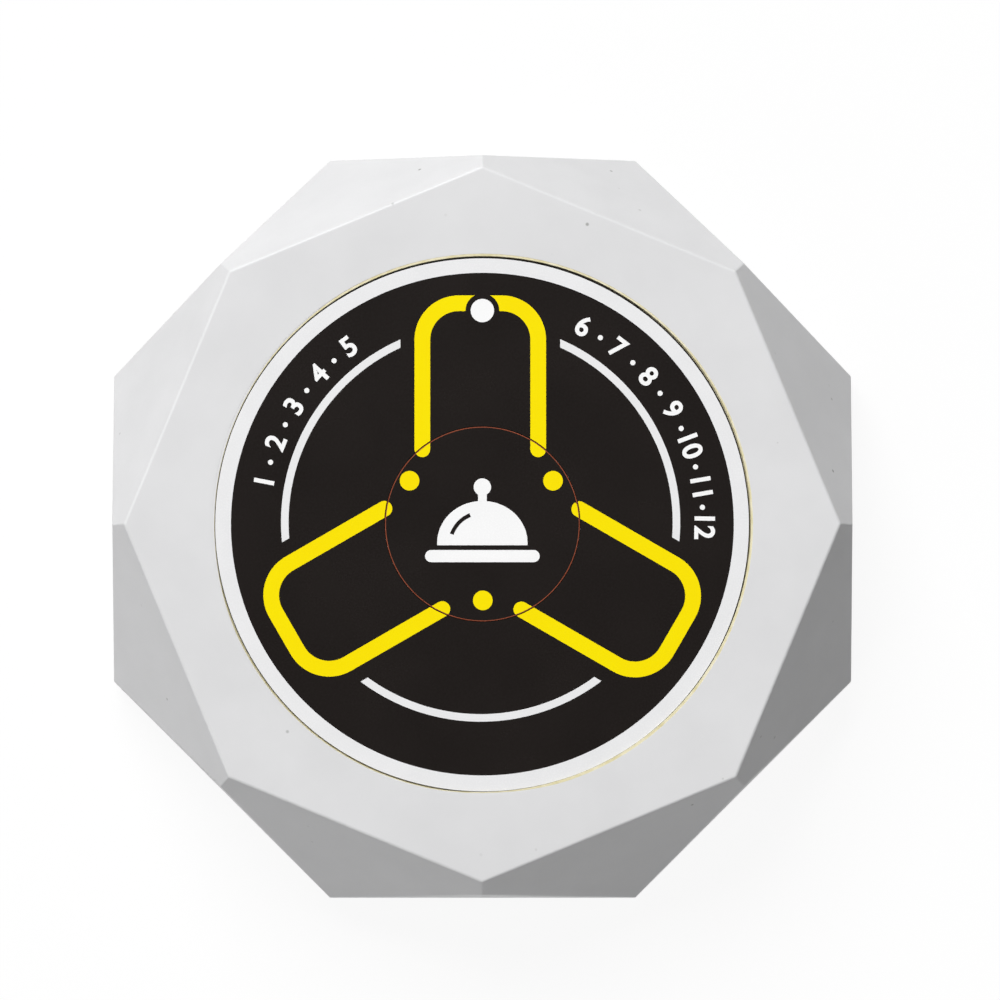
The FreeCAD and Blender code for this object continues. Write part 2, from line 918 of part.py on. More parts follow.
def circuit_board():
    holes = []

    def hole(name, radius, x, y):
        holes.append(rod(name, radius, "board_thickness + 2 * overrun", x, y, "board_bottom - overrun"))

    for angle in board_screw_angles:
        hole(f"board_hole_{angle}", "board_screw_hole_radius", *polar("board_screw_circle", angle))
    for side in (-1, 1):
        for row in (-1, 1):
            hole(
                f"terminal_hole_{side + 1}_{row + 1}",
                "pin_hole_radius",
                f"{side} * (switch_width + terminal_sheet) / 2",
                f"{row} * terminal_spacing / 2",
            )
        hole(
            f"lamp_lead_hole_{side + 1}",
            "pin_hole_radius",
            f"{side} * lamp_lead_spacing / 2",
            "lamp_place_y",
        )
        hole(f"clip_pin_hole_{side + 1}", "pin_hole_radius", f"{side} * clip_pin_x", 0)
    board = rod("board_disc", "board_radius", "board_thickness", z="board_bottom")
    sub_part("circuit_board", cut("circuit_board", board, holes))

    screws = []
    for angle in board_screw_angles:
        x, y = polar("board_screw_circle", angle)
        screws.append(
            cross_screw(
                f"board_screw_{angle}",
                "board_screw_radius",
                "board_screw_length",
                "board_screw_head_radius",
                "board_screw_head_height",
                x,
                y,
                "board_bottom",
            )
        )
    sub_part("board_screws", fuse("board_screws", screws))


def on_board(name, length, width, height, circle, angle):
    # A small block on the board, its length along the circle.
    x, y = polar(circle, angle)
    item = block(name, width, length, height)
    place(item, *corner_of_turned(x, y, width, length, angle), "board_top")
    turn(item, angle)
    return item


def radio():
    chip_x = "0 - collar_outer_radius - chip_gap"
    chip_y = "0 - chip_place_y"
    chip_low = "board_top + chip_stand"
    sub_part(
        "encoder_chip",
        block("encoder_chip", "chip_width", "chip_length", "chip_thickness", chip_x, chip_y, chip_low),
    )
    leads = []
    for side in (-1, 1):
        for number in range(chip_leads_per_side):
            row = number - (chip_leads_per_side - 1) / 2
            # each lead leaves the chip's side, goes down and ends in a foot on the board
            shoulder = "chip_lead_reach / 2"
            outline = [
                (0, "chip_stand + chip_thickness / 2"),
                (0, "chip_stand + chip_thickness / 2 - chip_lead_sheet"),
                (f"{shoulder} - chip_lead_sheet", "chip_stand + chip_thickness / 2 - chip_lead_sheet"),
                (f"{shoulder} - chip_lead_sheet", 0),
                ("chip_lead_reach", 0),
                ("chip_lead_reach", "chip_lead_sheet"),
                (shoulder, "chip_lead_sheet"),
                (shoulder, "chip_stand + chip_thickness / 2"),
            ]
            lead = padded(f"lead_{side + 1}_{number}", outline, "chip_lead_width", "XZ_Plane")
            place(
                lead,
                f"{chip_x} + {side} * chip_width / 2",
                f"{chip_y} + {row} * chip_lead_spacing",
                "board_top",
            )
            if side < 0:
                turn(lead, 2 * quarter_turn)
            leads.append(lead)
    sub_part("encoder_leads", fuse("encoder_leads", leads))

    outline = [
        (0, 0),
        ("resonator_radius", 0),
        ("resonator_radius", "resonator_rim_height"),
        ("resonator_radius - resonator_rim", "resonator_rim_height"),
        ("resonator_radius - resonator_rim", "resonator_height - resonator_rim"),
        ("resonator_radius - 2 * resonator_rim", "resonator_height"),
        (0, "resonator_height"),
    ]
    x, y = polar("collar_outer_radius + resonator_gap + resonator_radius", resonator_angle)
    sub_part("resonator_can", turned("resonator_can", outline, x, y, "board_top"))
    sub_part(
        "transistor",
        on_board(
            "transistor",
            "transistor_length",
            "transistor_width",
            "transistor_height",
            "small_part_circle",
            transistor_angle,
        ),
    )
    resistors = [
        on_board(
            f"resistor_{angle}",
            "resistor_length",
            "resistor_width",
            "resistor_height",
            "small_part_circle",
            angle,
        )
        for angle in resistor_angles
    ]
    sub_part("chip_resistors", fuse("chip_resistors", resistors))
    capacitors = [
        on_board(
            f"capacitor_{angle}",
            "resistor_length",
            "resistor_width",
            "capacitor_height",
            "small_part_circle",
            angle,
        )
        for angle in capacitor_angles
    ]
    sub_part("chip_capacitors", fuse("chip_capacitors", capacitors))

    # the antenna is a printed arc on the board's underside
    low = "board_bottom - copper_thickness"
    outer = rod("antenna_outside", "antenna_radius + antenna_width / 2", "copper_thickness", z=low)
    outer.Angle = antenna_sweep_angle
    turn(outer, antenna_start_angle)
    deep = "copper_thickness + 2 * overrun"
    inner = rod("antenna_inside", "antenna_radius - antenna_width / 2", deep, z=f"{low} - overrun")
    sub_part("antenna_track", cut("antenna_track", outer, [inner]))


# Lamp: a round-topped lens with a flange, on a spacer that holds its two leads apart.


def lamp():
    barrel = rod("lens_barrel", "lamp_radius", "lamp_body_height", 0, "lamp_place_y", "lamp_bottom")
    flange = rod(
        "lens_flange", "lamp_flange_radius", "lamp_flange_height", 0, "lamp_place_y", "lamp_bottom"
    )
    dome = document.addObject("Part::Sphere", "lens_dome")
    bind(dome, Radius="lamp_radius")
    place(dome, 0, "lamp_place_y", "lamp_centre_height")
    sub_part("lamp_lens", fuse("lamp_lens", [barrel, flange, dome]))

    leads = []
    ways = []
    for side in (-1, 1):
        x = f"{side} * lamp_lead_spacing / 2"
        leads.append(
            rod(
                f"lamp_lead_{side + 1}",
                "lamp_lead_radius",
                "lamp_bottom - pin_bottom",
                x,
                "lamp_place_y",
                "pin_bottom",
            )
        )
        ways.append(
            rod(
                f"lamp_way_{side + 1}",
                "lamp_lead_radius + lamp_hole_gap",
                "lamp_bottom",
                x,
                "lamp_place_y",
                "board_top - overrun",
            )
        )
    sub_part("lamp_leads", fuse("lamp_leads", leads))
    spacer = rod(
        "spacer_rod", "lamp_flange_radius", "lamp_bottom - board_top", 0, "lamp_place_y", "board_top"
    )
    sub_part("lamp_spacer", cut("lamp_spacer", spacer, ways))


# Battery, lying along X under the board, held by two spring clips soldered to the board.


def battery():
    outline = [
        (0, 0),
        ("battery_radius - battery_edge_round", 0),
        ("battery_radius", "battery_edge_round"),
        ("battery_radius", "battery_length - battery_edge_round"),
        ("battery_radius - battery_edge_round", "battery_length"),
        ("battery_cap_radius", "battery_length"),
        ("battery_cap_radius", "battery_length + battery_cap_rise"),
        (0, "battery_length + battery_cap_rise"),
    ]
    cell = turned("battery_cell", outline, "0 - battery_length / 2", 0, "battery_height")
    turn(cell, quarter_turn, (0, 1, 0))
    sub_part("battery_cell", cell)
    battery_clip("battery_clip_positive", 1, "battery_length / 2 + battery_cap_rise")
    battery_clip("battery_clip_negative", -1, "battery_length / 2")


def battery_clip(name, side, contact):
    # A band that grips the battery and is open below, an end plate with a contact dimple, a strap
    # under the board that joins the two, and a pin that is cut flush with the board's top.
    band_x = f"{side} * (battery_length / 2 - clip_band_inset)"
    band_outer = rod_along_x(
        name + "_band",
        "battery_radius + clip_gap + clip_sheet",
        "clip_band_width",
        band_x,
        0,
        "battery_height",
    )
    band_inner = rod_along_x(
        name + "_grip",
        "battery_radius + clip_gap",
        "clip_band_width + 2 * overrun",
        band_x,
        0,
        "battery_height",
    )
    mouth = block(
        name + "_mouth",
        "clip_band_width + 2 * overrun",
        f"2 * battery_radius * sin({clip_open_angle / 2})",
        "battery_radius + 2 * overrun",
        band_x,
        0,
        "battery_height - battery_radius - 2 * overrun",
    )
    band = cut(name + "_band_cut", band_outer, [band_inner, mouth])
    plate = block(
        name + "_plate",
        "clip_sheet",
        "clip_plate_width",
        "clip_plate_height",
        f"{side} * (clip_plate_face + clip_sheet / 2)",
        0,
        "board_bottom - clip_plate_height",
    )
    dimple = rod_along_x(
        name + "_dimple",
        "clip_dimple_radius",
        f"clip_plate_face + clip_sheet / 2 - ({contact})",
        f"{side} * (clip_plate_face + clip_sheet / 2 + ({contact})) / 2",
        0,
        "battery_height",
    )
    strap_start = "(battery_length / 2 - clip_band_inset)"
    strap_end = "(clip_plate_face + clip_sheet)"
    strap = block(
        name + "_strap",
        f"{strap_end} - {strap_start}",
        "clip_strap_width",
        "clip_sheet",
        f"{side} * ({strap_end} + {strap_start}) / 2",
        0,
        "board_bottom - clip_sheet",
    )
    pin = block(
        name + "_pin",
        "clip_sheet",
        "clip_pin_width",
        "board_thickness",
        f"{side} * clip_pin_x",
        0,
        "board_bottom",
    )
    sub_part(name, fuse(name, [band, plate, dimple, strap, pin]))


# Battery door: a plate in the floor that turns on its outer edge towards -Y. Two tabs hook over the
# floor inside, and a sprung finger holds the other edge.


def battery_door():
    plate = block(
        "door_plate",
        "door_length - 2 * fit_gap",
        "door_width - 2 * fit_gap",
        "door_thickness",
        z="floor_bottom",
    )
    inner_edge = "(door_width / 2 - door_ledge)"
    pieces = [plate]
    for side in (-1, 1):
        tab_x = f"{side} * door_tab_spacing / 2"
        lip_low = "floor_top + door_tab_lift"
        pieces.append(
            block(
                f"door_tab_{side + 1}",
                "door_tab_width",
                "door_tab_sheet",
                f"{lip_low} + door_tab_sheet - floor_bottom",
                tab_x,
                f"door_tab_sheet / 2 + fit_gap - {inner_edge}",
                "floor_bottom",
            )
        )
        pieces.append(
            block(
                f"door_lip_{side + 1}",
                "door_tab_width",
                "door_tab_reach + door_tab_sheet",
                "door_tab_sheet",
                tab_x,
                f"fit_gap + (door_tab_sheet - door_tab_reach) / 2 - {inner_edge}",
                lip_low,
            )
        )
    pieces.append(
        block(
            "door_finger",
            "door_finger_width",
            "door_tab_sheet",
            "door_thickness + door_finger_rise",
            0,
            f"{inner_edge} - 2 * fit_gap - door_tab_sheet / 2",
            "floor_bottom",
        )
    )
    sub_part("battery_door", fuse("battery_door", pieces))


case_top()
case_bottom()
case_seal()
case_screws()
rubber_feet()
label()
key()
key_membrane()
switch()
circuit_board()
radio()
lamp()
battery()
battery_door()
document.recompute()

faults = [
    f"{item.Name}: {item.State}" for item in document.Objects if {"Invalid", "Error"} & set(item.State)
]
for name, item in sub_parts.items():
    if item.Shape.isNull() or not item.Shape.isValid():
        faults.append(f"{name}: the shape is null or not valid")
if faults:
    raise SystemExit("\n".join(faults))

os.makedirs("parts", exist_ok=True)
for name, item in sub_parts.items():
    item.Shape.exportStep(f"parts/{name}.step")
    print(f"{name}: {len(item.Shape.Solids)} solids, {item.Shape.Volume:.1f} mm3")
print(
    f"{len(sub_parts)} sub-parts, key height {value('key_bottom'):.2f}, board {value('board_bottom'):.2f}"
)
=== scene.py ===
import json
import math

import bmesh
import bpy
import numpy as np
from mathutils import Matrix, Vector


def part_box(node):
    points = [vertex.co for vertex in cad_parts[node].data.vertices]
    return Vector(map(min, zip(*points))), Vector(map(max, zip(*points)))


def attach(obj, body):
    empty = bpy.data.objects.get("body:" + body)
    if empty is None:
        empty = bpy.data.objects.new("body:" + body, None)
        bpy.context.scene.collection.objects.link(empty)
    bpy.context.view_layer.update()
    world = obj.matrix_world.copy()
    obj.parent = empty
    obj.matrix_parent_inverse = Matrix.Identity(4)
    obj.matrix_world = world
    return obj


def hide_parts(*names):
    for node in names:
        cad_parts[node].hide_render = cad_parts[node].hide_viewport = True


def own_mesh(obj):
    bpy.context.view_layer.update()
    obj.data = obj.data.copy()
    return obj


# A table-top call button under a camera that looks almost straight down on its label.
# Lengths are in millimetres until a mesh is made, the frame is in metres. +Y is towards the lamp window.

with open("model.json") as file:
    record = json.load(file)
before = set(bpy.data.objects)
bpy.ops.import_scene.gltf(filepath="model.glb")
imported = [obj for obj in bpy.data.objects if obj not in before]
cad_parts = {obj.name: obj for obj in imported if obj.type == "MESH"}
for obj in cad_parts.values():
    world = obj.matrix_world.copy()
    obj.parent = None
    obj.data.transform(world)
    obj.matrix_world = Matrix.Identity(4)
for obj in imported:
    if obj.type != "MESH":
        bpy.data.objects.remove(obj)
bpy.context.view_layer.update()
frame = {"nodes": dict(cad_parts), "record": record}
nodes = frame["nodes"]
mm = 0.001
mergeDistance = 0.0005  # millimetres, between corners that are one


def nodeBox(node):
    # lowest and highest corner of a CAD node, in millimetres
    low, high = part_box(node)
    return np.array(low) / mm, np.array(high) / mm


def linear(hexText, alpha=1.0):
    # sRGB hex to the linear colour that the shaders take
    srgb = np.array([int(hexText[i:i + 2], 16) for i in (0, 2, 4)]) / 255
    curved = ((srgb + 0.055) / 1.055) ** 2.4
    return (*np.where(srgb <= 0.04045, srgb / 12.92, curved), alpha)


def addNode(tree, kind, settings=None, links=None):
    # Settings name a property or an input. Links name an input and what feeds it: an output, or a node, which
    # stands for its first one.
    node = tree.nodes.new("ShaderNode" + kind)
    for name, setting in (settings or {}).items():
        if isinstance(name, str) and hasattr(node, name):
            setattr(node, name, setting)
        else:
            node.inputs[name].default_value = setting
    for name, source in (links or {}).items():
        output = source.outputs[0] if isinstance(source, bpy.types.Node) else source
        tree.links.new(output, node.inputs[name])
    return node


def startFinish(name, settings):
    # a material with one principled shader, and the object's own coordinates for its patterns
    material = bpy.data.materials.new(name)
    material.use_nodes = True
    tree = material.node_tree
    tree.nodes.clear()
    shader = addNode(tree, "BsdfPrincipled", settings)
    addNode(tree, "OutputMaterial", None, {"Surface": shader})
    place = addNode(tree, "TexCoord").outputs["Object"]
    return material, tree, shader, place


# A noise texture's values lie mostly in these spans. Its detail is how many finer layers it has.
noise = {"cloudSpan": (0.32, 0.68), "cloudDetail": 3.0, "grainSpan": (0.35, 0.65), "lineSpan": (0.3, 0.7),
         "grainDetail": 2.0}


def cloudedTone(tree, place, kind):
    # Two close tones in soft clouds, as large in millimetres as the kind says. A colour mix has its share at
    # input 0 and its colours at 6 and 7.
    soft = {"Scale": 1 / (kind["cloud"] * mm), "Detail": noise["cloudDetail"]}
    cloud = addNode(tree, "TexNoise", soft, {"Vector": place})
    span = dict(zip(("From Min", "From Max"), noise["cloudSpan"]))
    share = addNode(tree, "MapRange", span, {"Value": cloud})
    colours = {"data_type": "RGBA", 6: linear(kind["dark"]), 7: linear(kind["light"])}
    return addNode(tree, "Mix", colours, {0: share}).outputs[2]


def reliefAndGloss(tree, shader, height, kind, span=(0.0, 1.0), strength=1.0):
    # Both follow one pattern. Its depth is in millimetres, and the roughness goes from its first value to its
    # second as the pattern's value crosses the span.
    first, second = kind["roughness"]
    gloss = addNode(tree, "MapRange", {"From Min": span[0], "From Max": span[1], "To Min": first,
                    "To Max": second}, {"Value": height})
    relief = addNode(tree, "Bump", {"Distance": kind["depth"] * mm, "Strength": strength},
                     {"Height": height})
    tree.links.new(gloss.outputs[0], shader.inputs["Roughness"])
    tree.links.new(relief.outputs["Normal"], shader.inputs["Normal"])


# Moulded plastics, rubbers, inks and small ceramic bodies: cloud, grain and its depth are in millimetres. The
# grain's hollows have the first roughness, its tops the second. Most real grain is finer, and is drawn this
# coarse so that it can show.

moulded = {
    # Satin ABS from a spark-eroded mould: even pale grey white, soft reflections, no grain to be seen.
    "case_plastic": {
        "name": "whiteMouldedAbs", "light": "e1e1e2", "dark": "dcdcdd", "roughness": (0.52, 0.42),
        "cloud": 9, "grain": 0.3, "depth": 0.003, "ior": 1.54, "speck": "8d8d8a"},
    # Red-brown ABS, of which only the key's thin edge shows.
    "key_plastic": {
        "name": "redBrownMouldedAbs", "light": "8e3b10", "dark": "83350d", "roughness": (0.5, 0.4),
        "cloud": 5, "grain": 0.25, "depth": 0.003, "ior": 1.54},
    # Black nylon with glass in it: a slightly cloudy, dry black.
    "switch_plastic": {
        "name": "glassFilledBlackNylon", "light": "202021", "dark": "161617", "roughness": (0.58, 0.42),
        "cloud": 1.2, "grain": 0.1, "depth": 0.004, "ior": 1.53},
    # Epoxy pressed round the chip in a matt steel mould: dull, nearly black.
    "chip_plastic": {
        "name": "mattChipEpoxy", "light": "1e1e20", "dark": "141416", "roughness": (0.68, 0.5),
        "cloud": 1.5, "grain": 0.08, "depth": 0.006, "ior": 1.55},
    # Glass glaze over the resistor's track: smooth and shiny.
    "resistor_body": {
        "name": "glazedBlackCeramic", "light": "1b1c22", "dark": "101116", "roughness": (0.3, 0.16),
        "cloud": 0.8, "grain": 0.1, "depth": 0.001, "ior": 1.6},
    # Sintered ceramic, unglazed: tan with fine darker grains.
    "capacitor_body": {
        "name": "tanSinteredCeramic", "light": "b6906a", "dark": "9a7550", "roughness": (0.55, 0.38),
        "cloud": 0.3, "grain": 0.08, "depth": 0.002, "ior": 1.7},
    # Natural nylon: warm white and a little waxy.
    "spacer_plastic": {
        "name": "whiteMouldedNylon", "light": "e9e8e1", "dark": "dddcd3", "roughness": (0.5, 0.38),
        "cloud": 2, "grain": 0.15, "depth": 0.003, "ior": 1.53, "glow": 0.25},
    # Translucent silicone: waxy, lets light in.
    "silicone": {
        "name": "greySilicone", "light": "a8aaac", "dark": "999b9d", "roughness": (0.5, 0.34), "cloud": 4,
        "grain": 0.2, "depth": 0.003, "ior": 1.41, "glow": 0.4},
    # Moulded rubber with a bloom of dust from handling: dark and dull.
    "foot_rubber": {
        "name": "darkFootRubber", "light": "424244", "dark": "2e2e30", "roughness": (0.82, 0.62),
        "cloud": 1.6, "grain": 0.22, "depth": 0.02, "ior": 1.52},
    # Milky epoxy lens: glossy, white all through.
    "lens_plastic": {
        "name": "milkyLampEpoxy", "light": "ffffff", "dark": "fafaf8", "roughness": (0.2, 0.12), "cloud": 2,
        "grain": 0.3, "depth": 0.001, "ior": 1.53, "glow": 0.3},
    # Black ink on the back of a satin polyester film. The film's gloss is faint, so the black stays deep.
    "label_print": {
        "name": "blackFilmPrint", "light": "1d1816", "dark": "191412", "roughness": (0.26, 0.2), "cloud": 9,
        "grain": 0.2, "depth": 0.001, "ior": 1.4},
    # Opaque white ink of the border and the arcs, slightly cool.
    "white_ink": {
        "name": "whiteFilmPrint", "light": "f1f1f2", "dark": "ededee", "roughness": (0.3, 0.22), "cloud": 5,
        "grain": 0.2, "depth": 0.001, "ior": 1.4},
    # A second pass of the same white, for the signs that have to be read.
    "bright_ink": {
        "name": "doubleWhiteFilmPrint", "light": "ffffff", "dark": "fcfcfc", "roughness": (0.3, 0.22),
        "cloud": 5, "grain": 0.2, "depth": 0.001, "ior": 1.4},
    # Opaque warm yellow ink.
    "yellow_ink": {
        "name": "yellowFilmPrint", "light": "ffea00", "dark": "ffe600", "roughness": (0.26, 0.2),
        "cloud": 6, "grain": 0.2, "depth": 0.001, "ior": 1.33},
    # Solder mask over copper: lighter and glossier than over the bare laminate.
    "masked_copper": {
        "name": "maskedCopperTrack", "light": "37925a", "dark": "2f8550", "roughness": (0.32, 0.2),
        "cloud": 3, "grain": 0.2, "depth": 0.002, "ior": 1.55},
    # White epoxy ink rolled on the solder mask through a screen.
    "board_ink": {
        "name": "whiteScreenPrint", "light": "e8e8e0", "dark": "d4d4cc", "roughness": (0.65, 0.5),
        "cloud": 0.8, "grain": 0.1, "depth": 0.004, "ior": 1.5},
}


# Specks of dust in the case's plastic are points this many millimetres apart. core and edge are where one
# starts and ends to fade, as shares of that, and leftOut is the share of them that isn't shown.
speck = {"spacing": 3.2, "core": 0.035, "edge": 0.08, "leftOut": 0.5}


def specked(tree, place, tone, colour):
    # Of the points scattered through the plastic only those show that lie almost in its surface. A point's
    # random colour says whether it is kept and how strong it is.
    cells = addNode(tree, "TexVoronoi", {"Scale": 1 / (speck["spacing"] * mm)}, {"Vector": place})
    near = addNode(tree, "MapRange", {"From Min": speck["core"], "From Max": speck["edge"],
                   "To Min": 1.0, "To Max": 0.0}, {"Value": cells.outputs["Distance"]})
    chance = addNode(tree, "SeparateColor", None, {0: cells.outputs["Color"]})
    kept = addNode(tree, "Math", {"operation": "GREATER_THAN", 1: speck["leftOut"]}, {0: chance})
    strength = addNode(tree, "Math", {"operation": "MULTIPLY"}, {0: near, 1: chance.outputs[1]})
    mask = addNode(tree, "Math", {"operation": "MULTIPLY"}, {0: kept, 1: strength})
    return addNode(tree, "Mix", {"data_type": "RGBA", 7: linear(colour)}, {0: mask, 6: tone}).outputs[2]


def mouldedFinish(kind):
    # Clouds and grain, and for some a glow of light scattered inside, or specks.
    settings = {"IOR": kind["ior"]}
    if "glow" in kind:
        settings.update({"Subsurface Weight": kind["glow"], "Subsurface Radius": (mm, mm, mm)})
    material, tree, shader, place = startFinish(kind["name"], settings)
    tone = cloudedTone(tree, place, kind)
    if "speck" in kind:
        tone = specked(tree, place, tone, kind["speck"])
    tree.links.new(tone, shader.inputs["Base Color"])
    fine = {"Scale": 1 / (kind["grain"] * mm), "Detail": noise["grainDetail"]}
    grain = addNode(tree, "TexNoise", fine, {"Vector": place})
    reliefAndGloss(tree, shader, grain.outputs[0], kind, noise["grainSpan"])
    return material


# Plated and rolled metals. Their real lines and frost are finer, and are drawn this coarse so that they can
# show.

metals = {
    # Bright zinc on turned steel, with the cloudiness of the plating bath.
    "screw_steel": {
        "name": "zincPlatedSteel", "light": "cbcbc8", "dark": "a9acb0", "roughness": (0.22, 0.4),
        "cloud": 0.9, "line": (0.5, 0.5, 0.08), "depth": 0.002},
    # Nickel on rolled spring strip: fine lines along the strip.
    "spring_metal": {
        "name": "nickelPlatedStrip", "light": "d0c9bc", "dark": "bab3a6", "roughness": (0.2, 0.36),
        "cloud": 1.6, "line": (2.5, 0.07, 0.07), "depth": 0.002},
    # Copper under tin and lacquer: a dull gold.
    "board_copper": {
        "name": "tinnedCopper", "light": "bfa56f", "dark": "a58b58", "roughness": (0.3, 0.46), "cloud": 1.0,
        "line": (0.15, 0.15, 0.15), "depth": 0.002},
    # Tin solder that froze with a slightly frosted skin.
    "solder": {
        "name": "frostedTinSolder", "light": "c9c9c6", "dark": "a8a8a6", "roughness": (0.24, 0.46),
        "cloud": 0.5, "line": (0.12, 0.12, 0.12), "depth": 0.002},
}


def metalFinish(kind):
    # The lines are noise drawn out to the given lengths in millimetres along x, y and z.
    material, tree, shader, place = startFinish(kind["name"], {"Metallic": 1.0})
    tree.links.new(cloudedTone(tree, place, kind), shader.inputs["Base Color"])
    drawn = addNode(tree, "Mapping", {"Scale": [1 / (length * mm) for length in kind["line"]]},
                    {"Vector": place})
    lines = addNode(tree, "TexNoise", {"Scale": 1.0, "Detail": noise["grainDetail"]}, {"Vector": drawn})
    reliefAndGloss(tree, shader, lines.outputs[0], kind, noise["lineSpan"])
    return material


tape = {"light": "f0e9cb", "dark": "ddd3a4", "cloud": 1.2, "pore": 0.12, "depth": 0.02,
        "roughness": (0.8, 0.6), "ior": 1.47}


def tapeFinish():
    # Acrylic foam tape, aged to cream: dull, with open pores that read as a fine crumb.
    material, tree, shader, place = startFinish("creamFoamTape", {"IOR": tape["ior"]})
    tree.links.new(cloudedTone(tree, place, tape), shader.inputs["Base Color"])
    pores = addNode(tree, "TexVoronoi", {"Scale": 1 / (tape["pore"] * mm)}, {"Vector": place})
    reliefAndGloss(tree, shader, pores.outputs["Distance"], tape)
    return material


# weave is the spacing of the threads in millimetres, waver how far they stray and show how much of them
# shows. A face whose normal points up or down by less than level is a cut edge.
laminate = {"light": "1f6a3c", "dark": "1a5d34", "cloud": 7, "thread": "2b7847", "weave": 0.5, "waver": 0.4,
            "show": 0.6, "edge": "b9b184", "level": 0.5, "depth": 0.005, "roughness": (0.36, 0.24),
            "ior": 1.55}
waveRadians = 20  # per metre, in the wave texture's bands at scale 1


def laminateFinish():
    # Glass-epoxy board under green solder mask, whose glass cloth shows through as a faint crossed weave. The
    # cut edge and the holes are bare straw yellow.
    material, tree, shader, place = startFinish("greenMaskedLaminate", {"IOR": laminate["ior"]})
    mask = cloudedTone(tree, place, laminate)
    scale = 2 * math.pi / waveRadians / (laminate["weave"] * mm)
    wave = {"Scale": scale, "Distortion": laminate["waver"]}
    warp, weft = [addNode(tree, "TexWave", {"bands_direction": axis, **wave}, {"Vector": place})
                  for axis in ("X", "Y")]
    weave = addNode(tree, "Math", {"operation": "MULTIPLY"},
                    {0: warp.outputs["Fac"], 1: weft.outputs["Fac"]})
    faint = addNode(tree, "Math", {"operation": "MULTIPLY", 1: laminate["show"]}, {0: weave})
    green = addNode(tree, "Mix", {"data_type": "RGBA", 7: linear(laminate["thread"])}, {0: faint, 6: mask})
    normal = addNode(tree, "TexCoord").outputs["Normal"]
    upright = addNode(tree, "SeparateXYZ", None, {0: normal})
    flat = addNode(tree, "Math", {"operation": "ABSOLUTE"}, {0: upright.outputs["Z"]})
    face = addNode(tree, "Math", {"operation": "GREATER_THAN", 1: laminate["level"]}, {0: flat})
    cut = addNode(tree, "Mix", {"data_type": "RGBA", 6: linear(laminate["edge"])},
                  {0: face, 7: green.outputs[2]})
    tree.links.new(cut.outputs[2], shader.inputs["Base Color"])
    reliefAndGloss(tree, shader, weave.outputs[0], laminate)
    return material


# Where each band of the battery's sleeve starts, in millimetres from its middle, and its colour.
sleeve = {"bands": ((-13.3, "2b2b30"), (-9.2, "d9d6cc"), (-8.6, "c9a24a"), (9.4, "d9d6cc"), (10.0, "2b2b30")),
          "can": "c4c4c2", "end": 13.3, "reach": 15.0, "wrinkle": 1.8, "depth": 0.03, "strength": 0.5,
          "roughness": (0.18, 0.4), "ior": 1.5}


def sleeveFinish():
    # A printed gold plastic sleeve shrunk on a nickel-plated can, which shows bare and shiny at both ends.
    material, tree, shader, place = startFinish("shrunkBatterySleeve", {"IOR": sleeve["ior"]})
    along = addNode(tree, "SeparateXYZ", None, {0: place}).outputs["X"]
    reach = sleeve["reach"] * mm
    share = addNode(tree, "MapRange", {"From Min": -reach, "From Max": reach}, {"Value": along})
    ramp = addNode(tree, "ValToRGB", None, {"Fac": share})
    bands = ramp.color_ramp
    bands.interpolation = "CONSTANT"
    bands.elements[0].color = linear(sleeve["can"])
    bands.elements[1].position = (sleeve["end"] + sleeve["reach"]) / (2 * sleeve["reach"])
    bands.elements[1].color = linear(sleeve["can"])
    for start, colour in sleeve["bands"]:
        bands.elements.new((start + sleeve["reach"]) / (2 * sleeve["reach"])).color = linear(colour)
    outside = addNode(tree, "Math", {"operation": "ABSOLUTE"}, {0: along})
    bare = addNode(tree, "Math", {"operation": "GREATER_THAN", 1: sleeve["end"] * mm}, {0: outside})
    tree.links.new(ramp.outputs["Color"], shader.inputs["Base Color"])
    tree.links.new(bare.outputs[0], shader.inputs["Metallic"])
    wrinkle = addNode(tree, "TexNoise", {"Scale": 1 / (sleeve["wrinkle"] * mm),
                      "Detail": noise["grainDetail"]}, {"Vector": place})
    reliefAndGloss(tree, shader, wrinkle.outputs[0], sleeve, strength=sleeve["strength"])
    return material


finishes = {slot: mouldedFinish(kind) for slot, kind in moulded.items()}
finishes.update({slot: metalFinish(kind) for slot, kind in metals.items()})
finishes.update({"label_glue": tapeFinish(), "board_laminate": laminateFinish()})
finishes["battery_skin"] = sleeveFinish()

slotOf = {part["node"]: part["material_slot"] for part in frame["record"]["subparts"]}
for name, part in nodes.items():
    part.data.materials.clear()
    part.data.materials.append(finishes[slotOf[name]])
print("finishes:", len(finishes), "on", len(nodes), "nodes")


# Meshes from grids. A shell is its points and its arrays of faces.

def slab(x, y, low, high, ring=False):
    # A flat shape of even thickness: the grid (x, y) is its top and its bottom, and quads along the grid's
    # open edges join them. The rows of a ring run round and meet.
    index = np.arange(x.size).reshape(x.shape)
    lines = np.vstack([index, index[:1]]) if ring else index
    top = np.stack([lines[:-1, :-1], lines[1:, :-1], lines[1:, 1:], lines[:-1, 1:]], -1).reshape(-1, 4)
    if ring:
        edges = [lines[:, 0], lines[::-1, -1]]
    else:
        edges = [np.concatenate([index[:, 0], index[-1, 1:], index[-2::-1, -1], index[0, -2::-1]])]
    walls = [np.stack([e[1:], e[:-1], e[:-1] + x.size, e[1:] + x.size], -1) for e in edges]
    flat = np.stack([x.ravel(), y.ravel()], -1)
    points = np.vstack([np.c_[flat, np.full(x.size, high)], np.c_[flat, np.full(x.size, low)]])
    return points, [top, top[:, ::-1] + x.size, *walls]


